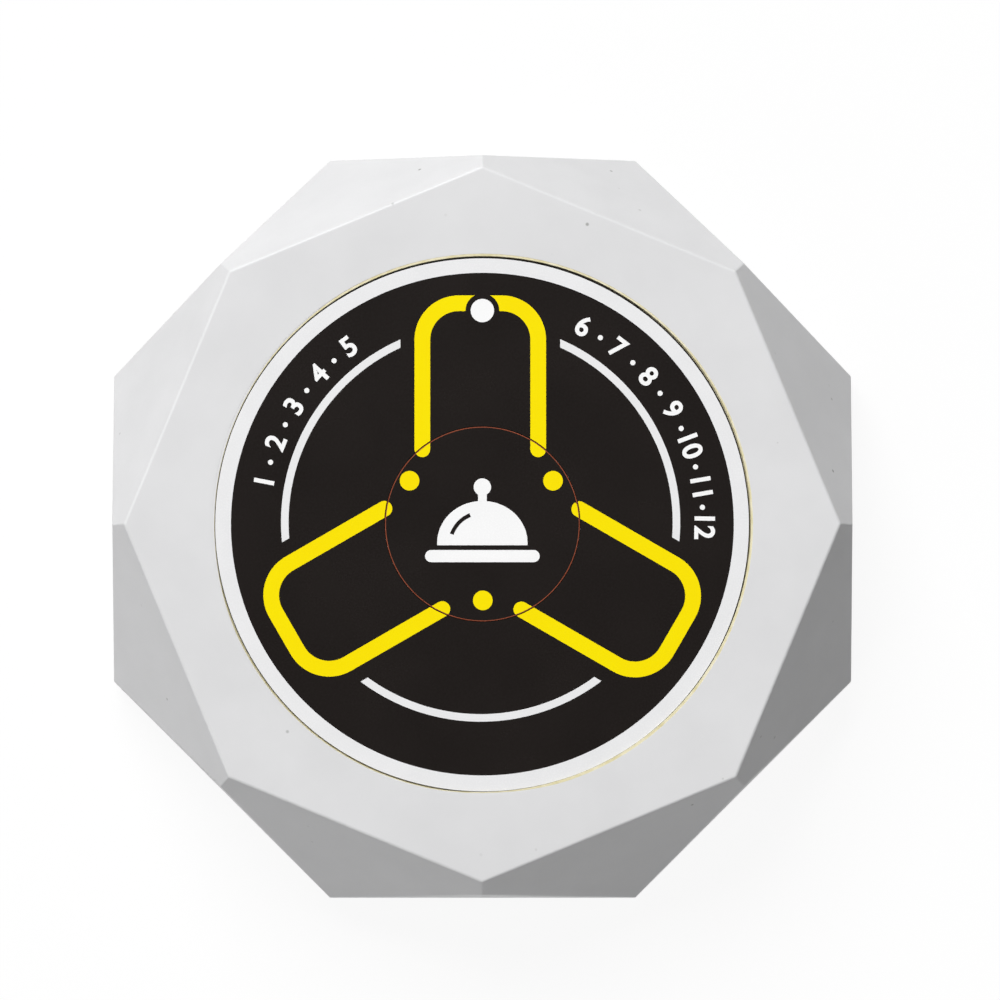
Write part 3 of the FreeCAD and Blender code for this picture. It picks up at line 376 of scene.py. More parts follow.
def loft(rows, ends=None):
    # A skin through rows of points, shaped (row, point, xyz), whose points run round. Two end points close it
    # with triangles. Without them the last row joins the first.
    points = rows.reshape(-1, 3)
    index = np.arange(len(points)).reshape(rows.shape[:2])
    here = index if ends is None else index[:-1]
    there = np.roll(index, -1, 0)[:len(here)]
    after, beyond = np.roll(here, -1, 1), np.roll(there, -1, 1)
    faces = [np.stack([here, after, beyond, there], -1).reshape(-1, 4)]
    if ends is None:
        return points, faces
    tip = len(points) + np.zeros(rows.shape[1], int)
    faces += [np.stack([tip, np.roll(index[0], -1), index[0]], -1),
              np.stack([index[-1], np.roll(index[-1], -1), tip + 1], -1)]
    return np.vstack([points, ends]), faces


def lathe(radius, height, centre=(0, 0), poles=False):
    # An outline of (radius, height) carried round a vertical axis. A closed outline makes a ring, and its
    # radius may change from angle to angle. With poles it starts and ends on the axis.
    height = height + 0 * radius
    angle = np.linspace(0, 2 * np.pi, len(radius), endpoint=False)[:, None]
    rows = np.stack([centre[0] + radius * np.cos(angle), centre[1] + radius * np.sin(angle), height], -1)
    rows = rows.transpose(1, 0, 2)
    return loft(rows[1:-1], rows[[0, -1], 0]) if poles else loft(rows)


def outward(points, faces):
    # turns a closed shell's faces out, if the volume that they enclose comes out negative
    volume = 0
    for block in faces:
        corners = points[block]
        for k in range(1, block.shape[1] - 1):
            volume += (corners[:, 0] * np.cross(corners[:, k], corners[:, k + 1])).sum()
    return faces if volume > 0 else [block[:, ::-1] for block in faces]


def makePiece(name, shells, body, slotName, finish=None, smooth=False):
    # all shells, in millimetres, joined in one mesh
    points = np.vstack([shell[0] for shell in shells])
    starts = np.cumsum([0] + [len(shell[0]) for shell in shells])
    faces = [(block + start).tolist() for shell, start in zip(shells, starts) for block in outward(*shell)]
    mesh = bpy.data.meshes.new(name)
    mesh.from_pydata((points * mm).tolist(), [], sum(faces, []))
    mesh.polygons.foreach_set("use_smooth", [smooth] * len(mesh.polygons))
    return dressPiece(name, mesh, body, slotName, finish)


def dressPiece(name, mesh, body, slotName, finish=None):
    # gives a finished mesh its object, its finish and its body; without a finish the slot's name picks one
    piece = bpy.data.objects.new(name, mesh)
    bpy.context.scene.collection.objects.link(piece)
    mesh.materials.append(finishes[finish or slotName])
    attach(piece, body)
    return piece


def turnGrid(grid, degrees):
    # turns an (x, y) grid about the label's centre
    c, s = math.cos(math.radians(degrees)), math.sin(math.radians(degrees))
    x, y = grid
    return x * c - y * s, x * s + y * c


def barGrid(x, y, halfLength, halfWidth):
    # a plain bar along x, from its middle and half its length and width
    u, v = np.meshgrid([-1.0, 1.0], [-1.0, 1.0], indexing="ij")
    return x + halfLength * u, y + halfWidth * v


def plusGrids(x, y, half, halfLine):
    # a plus sign of three bars that meet edge to edge
    stub = (half - halfLine) / 2
    return [barGrid(x, y, half, halfLine)] + [barGrid(x, y + end * (half + halfLine) / 2, halfLine, stub)
                                              for end in (-1, 1)]


def discGrid(x, y, radius, cells=14):
    # A square grid pressed into a disc: each coordinate is scaled by the root of 1 less half the other's
    # square, so the sides bulge out to the circle.
    u, v = np.meshgrid(np.linspace(-1, 1, cells), np.linspace(-1, 1, cells), indexing="ij")
    return x + radius * u * np.sqrt(1 - v * v / 2), y + radius * v * np.sqrt(1 - u * u / 2)


def ringGrid(inner, outer, segments=256, centre=(0, 0)):
    # two circles round one centre, closed as a ring
    angle = np.linspace(0, 2 * np.pi, segments, endpoint=False)[:, None]
    radius = np.array([[inner, outer]])
    return centre[0] + radius * np.cos(angle), centre[1] + radius * np.sin(angle)


def roundBarGrid(x, y, halfLength, radius, rows=12, columns=13):
    # a bar along x with half-round ends: column w lies at the height sin(w), its ends reach out by cos(w)
    w = np.linspace(-np.pi / 2, np.pi / 2, columns)[None, :]
    share = np.linspace(-1, 1, rows)[:, None]
    return x + share * (halfLength - radius + radius * np.cos(w)), y + radius * np.sin(w) + 0 * share


# The print on the label. Inks stand on the film, thinner than can be felt.

ink = {"thickness": 0.02, "overprint": 0.02}
keyEdge = {"filmGap": 0.02, "rim": 0.16, "runningGap": 0.08, "overprint": 0.08}
filmHigh, keyHigh = nodeBox("label_film")[1], nodeBox("key_film")[1]
labelRadius, labelTop = filmHigh[0], filmHigh[2]
keyRadius, keyTop = keyHigh[0], keyHigh[2]
keyOpening = keyRadius + keyEdge["filmGap"] + keyEdge["rim"] + keyEdge["runningGap"]
printRadius = keyRadius + keyEdge["overprint"]


def printOn(name, grids, top, body, finish, ring=False, lift=0.0):
    # one ink's layer: every grid becomes a slab that stands on top, or lifted over an ink below it
    low = top + lift
    shells = [slab(x, y, low, low + ink["thickness"], ring) for x, y in grids]
    return makePiece(name, shells, body, "label_print", finish)


# Round the label at some angles: how much of the film's black shows outside the border, and how wide the
# moulded lip of the
#  recess and the bead of the tape's adhesive are there. The black that shows is painted shade for the groove
#  round the label.
edgeStations = np.array([
    # angle, black (painted groove shade), lip, bead
    (0, 0.12, 0.02, 0.25), (30, 0.165, 0.02, 0.22), (60, 0.19, 0.02, 0.27), (95, 0.18, 0.03, 0.31),
    (115, 0.15, 0.06, 0.28), (135, 0.07, 0.2, 0.15), (160, 0.055, 0.33, 0.03), (182, 0.04, 0.34, 0.02),
    (205, 0.09, 0.19, 0.04), (240, 0.03, 0.16, 0.06), (258, 0.03, 0.17, 0.07), (272, 0.015, 0.24, 0.1),
    (290, 0.01, 0.06, 0.31), (305, 0.01, 0.03, 0.34), (330, 0.06, 0.02, 0.33), (345, 0.09, 0.02, 0.28)])
edgeAngle = np.linspace(0, 360, 360, endpoint=False)


def edgeWidths():
    # between two stations the share of the next one rises as half a cosine wave
    stations = np.vstack([edgeStations, edgeStations[:1] + [360, 0, 0, 0]])
    place = np.interp(edgeAngle, stations[:, 0], np.arange(len(stations)))
    before = np.minimum(place.astype(int), len(stations) - 2)
    share = (0.5 - 0.5 * np.cos(np.pi * (place - before)))[:, None]
    return np.split(stations[before, 1:] * (1 - share) + stations[before + 1, 1:] * share, 3, axis=1)


# The black widths paint the shade in the groove round the label: the wider the black, the darker the groove
# reads.
blackShadeWidth, lipWidth, beadWidth = edgeWidths()
borderInner = 28.94


def borderGrid():
    # a circle inside, and outside the film's radius less the black that shows at each angle as painted groove
    # shade
    angle = np.radians(edgeAngle)[:, None]
    radius = np.hstack([borderInner + 0 * blackShadeWidth, labelRadius - blackShadeWidth])
    return radius * np.cos(angle), radius * np.sin(angle)


printOn("label_border", [borderGrid()], labelTop, "case", "white_ink", ring=True)

# Three loops, open towards the key. Each is a line of even width: leg, corner, bar, corner, leg. They are
# printed a little askew, so each has its turn, its shift sideways, and how far out its bar and its legs' ends
# are.
thirdTurn = 120
loop = {"halfWidth": 6.67, "corner": 4.2, "line": 1.81, "keyGap": 0.02,
        "places": ((0, -0.24, 25.43, 8.6), (thirdTurn, 0.49, 25.7, 8.88), (2 * thirdTurn, -0.39, 25.7, 8.8)),
        "columns": 15, "legRows": 8, "cornerRows": 20, "barRows": 6}
window = {"y": 24.59, "ring": 1.95, "radius": 1.345, "cells": 18}
across = np.sin(np.linspace(-np.pi / 2, np.pi / 2, loop["columns"]))
halfLine = loop["line"] / 2


def roundEnd(shift, distance):
    # across a left leg: the sideways place, and how far out its half-round end is
    return shift - loop["halfWidth"] - halfLine * across, distance - halfLine * np.sqrt(1 - across ** 2)


def halfLoop(shift, barDistance, endDistance, stop):
    # The left half of a loop from the key's opening round to x = stop(y). Across runs from the line's
    # inner side to its outer side, along runs up the leg, round the corner and along the bar.
    u = across[None, :]
    x, tip = roundEnd(shift, endDistance)
    foot = np.maximum(np.sqrt((keyOpening + loop["keyGap"]) ** 2 - x ** 2), tip)
    bend = barDistance - loop["corner"]
    along = np.linspace(0, 1, loop["legRows"])[:, None]
    leg = (x + 0 * along, foot + (bend - foot) * along)
    angle = np.linspace(np.pi, np.pi / 2, loop["cornerRows"])[1:, None]
    reach = loop["corner"] + halfLine * u
    middle = shift + loop["corner"] - loop["halfWidth"]
    corner = (middle + reach * np.cos(angle), bend + reach * np.sin(angle))
    y = barDistance + halfLine * u
    step = np.linspace(0, 1, loop["barRows"])[1:, None]
    bar = (middle + (stop(y) - middle) * step, y + 0 * step)
    return np.vstack([leg[0], corner[0], bar[0]]), np.vstack([leg[1], corner[1], bar[1]])


def lampEdge(y):
    # the bar of the first loop stops at a circle round the lamp's window
    return -np.sqrt(window["ring"] ** 2 - (y - window["y"]) ** 2)


def middleLine(y):
    # the bars of the others run on to the middle, where their two halves meet
    return 0 * y


def bothSides(turn, shift, halfShape):
    # a left shape and a right one, which is worked out as a left one and mirrored
    left, right = halfShape(shift), halfShape(-shift)
    return [turnGrid(left, turn), turnGrid((-right[0], right[1]), turn)]


loops = []
for turn, shift, barDistance, endDistance in loop["places"]:
    stop = middleLine if turn else lampEdge
    loops += bothSides(turn, shift, lambda aside: halfLoop(aside, barDistance, endDistance, stop))
printOn("label_loops", loops, labelTop, "case", "yellow_ink")

# The lamp's window: a milky patch over the hole that the lamp's head looks through.
patch = discGrid(0, window["y"], window["radius"], window["cells"])
printOn("label_window", [patch], labelTop, "case", "bright_ink")


def legEnd(shift, endDistance):
    # the round end of a left leg, from its tip to the key print's edge, where it is on the key
    x, tip = roundEnd(shift, endDistance)
    edge = np.sqrt(printRadius ** 2 - x ** 2)
    onKey = tip < edge - loop["keyGap"]
    x, tip, edge = x[onKey], tip[onKey], edge[onKey]
    along = np.linspace(0, 1, loop["legRows"])[:, None]
    return x + 0 * along, tip + (edge - tip) * along


legEnds = []
for turn, shift, _, endDistance in loop["places"]:
    legEnds += bothSides(turn, shift, lambda aside: legEnd(aside, endDistance))
printOn("key_loop_ends", legEnds, keyTop, "key", "yellow_ink")

# The key's black print runs a little over the film onto the key's own edge, thinner than the yellow over it.
printEdge = slab(*ringGrid(keyRadius, printRadius), keyTop, keyTop + ink["thickness"] / 2, ring=True)
makePiece("key_print_edge", [printEdge], "key", "label_print")

dots = {"radius": 1.13, "places": ((8.13, 4.98), (-8.38, 4.98), (0.05, -8.8))}
printOn("key_dots", [discGrid(x, y, dots["radius"]) for x, y in dots["places"]], keyTop, "key", "yellow_ink")

# Three white arcs of one circle between the loops. Their ends are cut along the legs beside them.
arc = {"radius": 22.54, "centre": (-0.2, 0.22), "width": 0.87, "legDistance": 9.2, "rows": 60}


def arcCut(turn, x, radius):
    # the angle on the arcs' circle where the loop at this turn has the sideways place x: an arc cosine
    c, s = math.cos(math.radians(turn)), math.sin(math.radians(turn))
    return math.radians(turn) + np.arccos((x - arc["centre"][0] * c - arc["centre"][1] * s) / radius)


def arcGrid(before, after):
    # two circles half the line's width inside and outside, from the one loop's leg to the next one's
    radius = arc["radius"] + arc["width"] / 2 * np.array([[-1.0, 1.0]])
    start = arcCut(before[0], before[1] - arc["legDistance"], radius)
    stop = arcCut(before[0] + thirdTurn, after[1] + arc["legDistance"], radius)
    angle = start + (stop - start) * np.linspace(0, 1, arc["rows"])[:, None]
    return arc["centre"][0] + radius * np.cos(angle), arc["centre"][1] + radius * np.sin(angle)


neighbours = zip(loop["places"], loop["places"][1:] + loop["places"][:1])
arcs = [arcGrid(before, after) for before, after in neighbours]
printOn("label_arcs", arcs, labelTop, "case", "white_ink")
print("label: border, loops, window and arcs printed")

# Plain numbers with dots between them, as on a dial, on the two stretches outside the arcs.
# A stretch is its first and last angle and number, and digitShare a digit's height in the letters' size.
dial = {"radius": 25.6, "height": 2.35, "digitShare": 0.73, "bold": 0.036, "curveSteps": 6, "dotRadius": 0.3,
        "dotCircle": 25.4, "dotCells": 8, "stretches": ((169, 127, 1, 5), (63, -1, 6, 12))}


def numberMesh(number, degrees):
    # The digits' outline from the built-in letters, filled, and set so that its top points outwards.
    curve = bpy.data.curves.new("digits", "FONT")
    curve.body = str(number)
    curve.size = dial["height"] * mm / dial["digitShare"]
    curve.offset = dial["bold"] * dial["height"] * mm
    curve.resolution_u = dial["curveSteps"]
    curve.align_x, curve.align_y = "CENTER", "CENTER"
    curve.extrude = ink["thickness"] * mm / 2
    carrier = bpy.data.objects.new("digits", curve)
    mesh = bpy.data.meshes.new_from_object(carrier)
    points = np.zeros(len(mesh.vertices) * 3)
    mesh.vertices.foreach_get("co", points)
    points = points.reshape(-1, 3) / mm
    points[:, :2] -= (points[:, :2].min(0) + points[:, :2].max(0)) / 2
    x, y = turnGrid((points[:, 0], points[:, 1] + dial["radius"]), degrees - 90)
    placed = np.stack([x, y, points[:, 2] + labelTop + ink["thickness"] / 2], -1) * mm
    mesh.vertices.foreach_set("co", placed.ravel())
    bpy.data.objects.remove(carrier)
    bpy.data.curves.remove(curve)
    return mesh


def makeNumbers():
    # numbers at even steps along each stretch, and a dot halfway between two of them
    shape = bmesh.new()
    between = []
    for first, last, low, high in dial["stretches"]:
        step = (last - first) / (high - low)
        for number in range(low, high + 1):
            degrees = first + step * (number - low)
            digits = numberMesh(number, degrees)
            shape.from_mesh(digits)
            bpy.data.meshes.remove(digits)
            if number < high:
                between.append(degrees + step / 2)
    bmesh.ops.remove_doubles(shape, verts=shape.verts, dist=mergeDistance * mm)
    mesh = bpy.data.meshes.new("label_numbers")
    shape.to_mesh(mesh)
    shape.free()
    dressPiece("label_numbers", mesh, "case", "label_print", "bright_ink")
    dot = discGrid(0, dial["dotCircle"], dial["dotRadius"], dial["dotCells"])
    dotGrids = [turnGrid(dot, degrees - 90) for degrees in between]
    printOn("label_dial_dots", dotGrids, labelTop, "case", "bright_ink")


makeNumbers()

# A plain counter bell in the middle of the key.
bell = {"baseY": -3.7, "baseHalf": 6.6, "baseThickness": 1.4, "gap": 0.55, "rim": 0.3, "domeHalf": 5.2,
        "domeHeight": 5.1, "domeColumns": 41, "rows": 9, "stemHalf": 0.5, "stemHeight": 0.6, "stemColumns": 7,
        "knob": 1.0, "knobCells": 20, "shineRadius": 3.75, "shineWidth": 0.45, "shineFrom": 112,
        "shineTo": 160, "shineRows": 24}


def bellGrids():
    # Base: a bar with round ends. Dome: half an ellipse on a short rim. Knob: a disc. The stem fills the
    # space between the dome's crown and the knob, from one curve to the other.
    base = roundBarGrid(0, bell["baseY"], bell["baseHalf"], bell["baseThickness"] / 2)
    foot = bell["baseY"] + bell["baseThickness"] / 2 + bell["gap"]
    u = np.sin(np.linspace(-np.pi / 2, np.pi / 2, bell["domeColumns"]))[:, None]
    v = np.linspace(0, 1, bell["rows"])[None, :]
    curve = bell["domeHeight"] - bell["rim"]
    dome = (bell["domeHalf"] * u + 0 * v, foot + v * (bell["rim"] + curve * np.sqrt(1 - u * u)))
    crown = foot + bell["domeHeight"]
    middle = crown + bell["stemHeight"] + bell["knob"]
    side = bell["stemHalf"] * np.linspace(-1, 1, bell["stemColumns"])[:, None]
    low = foot + bell["rim"] + curve * np.sqrt(1 - (side / bell["domeHalf"]) ** 2)
    high = middle - np.sqrt(bell["knob"] ** 2 - side ** 2)
    stem = (side + 0 * v, low + (high - low) * v)
    return [base, dome, stem, discGrid(0, middle, bell["knob"], bell["knobCells"])], foot


bellShapes, bellFoot = bellGrids()
printOn("key_bell", bellShapes, keyTop, "key", "bright_ink")
shineAngle = np.radians(np.linspace(bell["shineFrom"], bell["shineTo"], bell["shineRows"]))[:, None]
shineRadius = bell["shineRadius"] + bell["shineWidth"] / 2 * np.array([[-1.0, 1.0]])
shine = (shineRadius * np.cos(shineAngle), bellFoot + shineRadius * np.sin(shineAngle))
printOn("key_bell_shine", [shine], keyTop, "key", "label_print", lift=ink["overprint"])
print("label: numbers, dots and bell printed")

# Between the label and the wall of its recess: the wall's moulded lip, and a bead of the tape's adhesive.
rim = {"wall": 31.18, "top": 24.97, "floor": 24.38, "round": 0.04, "overlap": 0.01}


def crescent(outer, width, top):
    # a ring with a flat top and a rounded inner edge, as wide at each angle as width says
    inner = outer - width
    bend = np.minimum(rim["round"], width / 2)
    radius = np.hstack([outer, outer, inner + bend, inner, inner])
    floor, level = rim["floor"] + 0 * outer, top + 0 * outer
    return lathe(radius, np.hstack([floor, level, level, level - bend, floor]))


def makeRim():
    # the lip stands on the wall, and the bead on the lip, which they overlap a little so that no gap shows
    wall, overlap = rim["wall"] + 0 * lipWidth, rim["overlap"]
    makePiece("label_recess_lip", [crescent(wall, lipWidth, rim["top"] + overlap)], "case", "case_plastic")
    bead = crescent(wall - lipWidth + overlap, beadWidth + overlap, rim["top"])
    makePiece("label_glue_bead", [bead], "case", "label_glue")


makeRim()

# Solder on the board: cones round the pins below, low domes where the battery clips come up through it.

boardLow, boardHigh = nodeBox("circuit_board")
boardTop, boardBottom = boardHigh[2], boardLow[2]
solder = {"terminals": (3.15, 2.25), "lampLead": 1.27, "clipPin": 15.5, "foot": 0.85, "tip": 0.36,
          "cone": 0.46, "dome": 0.3, "hollow": 0.55, "rows": 9, "around": 28}


def solderJoint(x, y, level, height):
    # From the foot the radius shrinks quickly, then slowly, as solder climbs a pin: a power of the height's
    # share.
    t = np.linspace(0, 1, solder["rows"])
    radius = np.r_[0, solder["foot"] + (solder["tip"] - solder["foot"]) * t ** solder["hollow"], 0]
    heights = np.r_[level, level + height * t, level + height]
    return lathe(np.tile(radius, (solder["around"], 1)), heights, (x, y), poles=True)


def makeSolder():
    # cones round the switch's terminals and the lamp's leads below, domes over the clips' pins above
    sideX, rowY = solder["terminals"]
    below = [(side * sideX, row * rowY) for side in (-1, 1) for row in (-1, 1)]
    below += [(side * solder["lampLead"], window["y"]) for side in (-1, 1)]
    joints = [solderJoint(x, y, boardBottom, -solder["cone"]) for x, y in below]
    joints += [solderJoint(side * solder["clipPin"], 0, boardTop, solder["dome"]) for side in (-1, 1)]
    makePiece("board_solder", joints, "case", "spring_metal", "solder", smooth=True)


makeSolder()

# Copper tracks under the solder mask. The board is round, so most are arcs of (radius, from, to), joined by
# spokes of (angle, inner radius, outer radius). Tinned rings round small holes take them through the board,
# but not where arcs of the radii in plainEnds end.
tracks = {"half": 0.16, "thickness": 0.03, "hole": 0.16, "ring": 0.36, "ringThickness": 0.045, "around": 20,
          "plainEnds": (9.5, 17.4),
          "arcs": ((17.4, 15.6, 44.4), (17.4, 51.6, 55.4), (17.4, 62.6, 66.4), (17.4, 73.6, 106.4),
                   (17.4, 113.6, 117.4), (17.4, 124.6, 128.4), (17.4, 135.6, 164.4), (17.4, 241.6, 245.4),
                   (17.4, 252.6, 283), (17.4, 295, 299.4), (17.4, 306.6, 319), (19.6, 20, 66), (20.4, 26, 84),
                   (21.2, 98, 150), (20.2, 112, 172), (20.4, 242, 288), (21.4, 250, 304), (24.5, 60, 80),
                   (24.5, 100, 131), (25.6, 284, 338), (26.6, 270, 352), (24.8, 8, 28), (24.2, 165, 187)),
          "spokes": ((20, 17.4, 19.6), (66, 18.1, 19.6), (84, 17.4, 20.4), (26, 20.4, 24.8), (98, 17.4, 21.2),
                     (112, 18.1, 20.2), (150, 21.2, 24.5), (242, 18.1, 20.4), (288, 18.6, 20.4),
                     (304, 18.1, 21.4), (250, 18.1, 21.4), (284, 21.4, 25.6), (270, 21.4, 26.6),
                     (172, 18.1, 20.2)),
          "below": ((8.5, 20, 160), (9.5, 200, 340), (20.5, 20, 78), (21.5, 102, 168), (19.5, 196, 262),
                    (23.5, 280, 345), (24.5, 20, 66), (25.5, 290, 352))}
fanOut = {"leads": 7, "pitch": 1.27, "reach": 1.6, "step": 0.55, "clear": 1.0}


def trackGrids(arcs, spokes=()):
    # an arc is two circles half a track's width inside and outside, a spoke a plain bar turned to its angle
    grids = []
    for radius, start, stop in arcs:
        angle = np.radians(np.linspace(start, stop, max(2, round(stop - start))))[:, None]
        reach = radius + tracks["half"] * np.array([[-1, 1]])
        grids.append((reach * np.cos(angle), reach * np.sin(angle)))
    for angle, near, far in spokes:
        grids.append(turnGrid(barGrid((near + far) / 2, 0, (far - near) / 2, tracks["half"]), angle))
    return grids


def fanOutGrids():
    # from each of the chip's leads a track runs out: stepped lengths outside, up to the key's cup inside
    low, high = nodeBox("encoder_leads")
    cup = nodeBox("key_membrane")[1][0] + fanOut["clear"]
    grids, ends = [], []
    for k in range(fanOut["leads"]):
        y = (low[1] + high[1]) / 2 + (k - (fanOut["leads"] - 1) / 2) * fanOut["pitch"]
        outside = low[0] - fanOut["reach"] - fanOut["step"] * min(k, fanOut["leads"] - 1 - k)
        inside = -math.sqrt(cup ** 2 - y ** 2)
        for start, stop in ((low[0], outside), (high[0], inside)):
            if abs(stop - start) > tracks["ring"]:
                grids.append(barGrid((start + stop) / 2, y, abs(stop - start) / 2, tracks["half"]))
                ends.append((stop, y))
    return grids, ends


def makeTracks():
    # the tracks on both faces of the board, and the rings at their ends
    thick = tracks["thickness"]
    fan, ends = fanOutGrids()
    above = trackGrids(tracks["arcs"], tracks["spokes"]) + fan
    shells = [slab(*grid, boardTop, boardTop + thick) for grid in above]
    shells += [slab(*grid, boardBottom - thick, boardBottom) for grid in trackGrids(tracks["below"])]
    makePiece("board_tracks", shells, "case", "board_laminate", "masked_copper")
    for radius, *angles in tracks["arcs"] + tracks["below"]:
        if radius not in tracks["plainEnds"]:
            ends += [turnGrid((radius, 0), angle) for angle in angles]
    rings = [ringGrid(tracks["hole"], tracks["ring"], tracks["around"], end) for end in ends]
    thick = tracks["ringThickness"]
    shells = [slab(*grid, boardTop, boardTop + thick, ring=True) for grid in rings]
    shells += [slab(*grid, boardBottom - thick, boardBottom, ring=True) for grid in rings]
    makePiece("board_track_rings", shells, "case", "spring_metal", "solder")


# White screen print on the board: outlines of the pieces and a plus sign.
screen = {"thickness": 0.02, "line": 0.16, "margin": 0.4, "plus": (18.4, 2.6), "plusHalf": 0.9, "around": 96}


def frameGrid(low, high):
    # a rectangular frame round a box: four mitred corners, each an inner and an outer point
    reach = np.array([[screen["margin"], screen["margin"] + screen["line"]]])
    signs = np.array([(1, 1), (-1, 1), (-1, -1), (1, -1)])
    middle, half = (low[:2] + high[:2]) / 2, (high[:2] - low[:2]) / 2
    return tuple(middle[k] + signs[:, k:k + 1] * (half[k] + reach) for k in (0, 1))


def makeScreenPrint():
    # a frame round the chip, a circle round each round piece, and the battery's plus sign
    low, high = boardTop, boardTop + screen["thickness"]
    rings = [frameGrid(*nodeBox("encoder_leads"))]
    for node in ("resonator_can", "lamp_spacer", "key_membrane"):
        corner, other = nodeBox(node)
        inner = (other[0] - corner[0]) / 2 + screen["margin"]
        middle = (corner[:2] + other[:2]) / 2
        rings.append(ringGrid(inner, inner + screen["line"], screen["around"], middle))
    shells = [slab(*grid, low, high, ring=True) for grid in rings]
    plus = plusGrids(*screen["plus"], screen["plusHalf"], screen["line"])
    shells += [slab(*bar, low, high) for bar in plus]
    makePiece("board_screen_print", shells, "case", "board_laminate", "board_ink")


makeScreenPrint()

# Tinned ends of the small parts, the transistor's legs and the dot that marks the chip's first lead.
smallParts = {"circle": 17.4, "resistors": (48, 59, 121, 132, 12),
              "capacitors": (70, 110, 168, 238, 249, 303), "halfLength": 1.0, "halfWidth": 0.625,
              "endCap": 0.34, "skin": 0.015}
transistor = {"angle": 290, "halfWidth": 0.65, "legSpacing": 0.95, "legHalf": 0.2, "legReach": 0.55,
              "sheet": 0.14, "shoulder": 0.6}
chipDot = {"radius": 0.3, "inset": (0.75, 0.8), "cells": 8}


def standingBox(circle, angle, radial, tangential, low, high):
    # a box on a circle of the board; radial and tangential are its (start, end) from the circle's point
    x, y = np.meshgrid(circle + np.array(radial), np.array(tangential), indexing="ij")
    return slab(*turnGrid((x, y), angle), low, high)


def makeEndCaps():
    # a box a skin's thickness larger than the part round each of its two ends
    wide, long, skin = smallParts["halfWidth"], smallParts["halfLength"], smallParts["skin"]
    shells = []
    for node, kind in (("chip_resistors", "resistors"), ("chip_capacitors", "capacitors")):
        top = nodeBox(node)[1][2] + skin
        for angle in smallParts[kind]:
            for end in (-1, 1):
                sides = end * (long + skin), end * (long - smallParts["endCap"])
                cap = (-wide - skin, wide + skin), sides, boardTop, top
                shells.append(standingBox(smallParts["circle"], angle, *cap))
    makePiece("chip_end_caps", shells, "case", "spring_metal", "solder")


def makeTransistorLegs():
    # each leg is a strip that lies on the board and a shoulder that stands against the body
    shells = []
    near, wide = transistor["halfWidth"], transistor["legHalf"]
    far = near + transistor["legReach"]
    for side, places in ((1, (0,)), (-1, (-transistor["legSpacing"], transistor["legSpacing"]))):
        for middle in places:
            ends = (middle - wide, middle + wide)
            step = near + transistor["sheet"]
            strips = (step, far, transistor["sheet"]), (near, step, transistor["shoulder"])
            for start, stop, height in strips:
                leg = (side * start, side * stop), ends, boardTop, boardTop + height
                shells.append(standingBox(smallParts["circle"], transistor["angle"], *leg))
    makePiece("transistor_legs", shells, "case", "spring_metal")


def makeChipDot():
    # a flat disc of ink near the chip's first lead
    low, high = nodeBox("encoder_chip")
    x, y = low[0] + chipDot["inset"][0], high[1] - chipDot["inset"][1]
    dot = slab(*discGrid(x, y, chipDot["radius"], chipDot["cells"]), high[2], high[2] + screen["thickness"])
    makePiece("chip_dot", [dot], "case", "chip_plastic", "board_ink")


makeTracks()
makeEndCaps()
makeTransistorLegs()
makeChipDot()
print("board: solder, tracks, screen print, end caps and legs made")

# Ribs for a fingertip on the outside of the battery door, and a plus and a minus sign beside them.
grip = {"ribs": (3.0, 4.2, 5.4, 6.6), "half": 6.0, "radius": 0.28, "sunk": 0.05, "sign": 12.5,
        "signHalf": 1.3, "signLine": 0.22, "signY": 4.8, "signHeight": 0.15, "rings": 25, "around": 16}


def domedRib(y, level):
    # Rings round the rib's length, whose size falls to nothing at both ends as the root of a cosine.
    turn = np.linspace(-np.pi / 2, np.pi / 2, grip["rings"])[:, None]
    around = np.linspace(0, 2 * np.pi, grip["around"], endpoint=False)
    size = grip["radius"] * np.sqrt(np.cos(turn))
    along = grip["half"] * np.sin(turn) + 0 * around
    rings = np.stack([along, y + size * np.cos(around), level + size * np.sin(around)], -1)
    return loft(rings[1:-1], rings[[0, -1], 0])


def makeGrip():
    # the ribs lie half in the door's outer face, and the signs stand out from it on both sides of them
    level = nodeBox("battery_door")[0][2]
    ribs = [domedRib(y, level) for y in grip["ribs"]]
    makePiece("door_grip_ribs", ribs, "door", "case_plastic", smooth=True)
    low, high = level - grip["signHeight"], level + grip["sunk"]
    half, line, y = grip["signHalf"], grip["signLine"], grip["signY"]
    signs = [barGrid(-grip["sign"], y, half, line), *plusGrids(grip["sign"], y, half, line)]
    makePiece("door_signs", [slab(*bar, low, high) for bar in signs], "door", "case_plastic")


makeGrip()
print("door: ribs and signs made")


def makeYielding():
    # The silicone cup under the key and the switch's snap dome. Each is its solid's mesh with the corners
    # merged, in a piece of
    #  its own, and the solid itself is hidden.
    for joint in frame["record"]["behaviour"]["joints"]:
        for soft in joint.get("deforming_nodes", []):
            node, fixedEnd = soft["node"], soft["fixed_end_z_m"]
            shape = bmesh.new()
            shape.from_mesh(nodes[node].data)
            bmesh.ops.remove_doubles(shape, verts=shape.verts, dist=mergeDistance * mm)
            mesh = bpy.data.meshes.new(node + "_yielding")
            shape.to_mesh(mesh)
            shape.free()
            piece = dressPiece(node + "_yielding", mesh, "case", slotOf[node])
            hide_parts(node)
            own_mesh(piece)


makeYielding()

# Camera and light

view = {"distance": 1400, "lean": 1.87, "aim": (2.03, 3.08, 15.0), "pixelsPerMm": 8.627, "sensor": 36.0,
        "frame": 1000, "clip": (0.1, 50)}


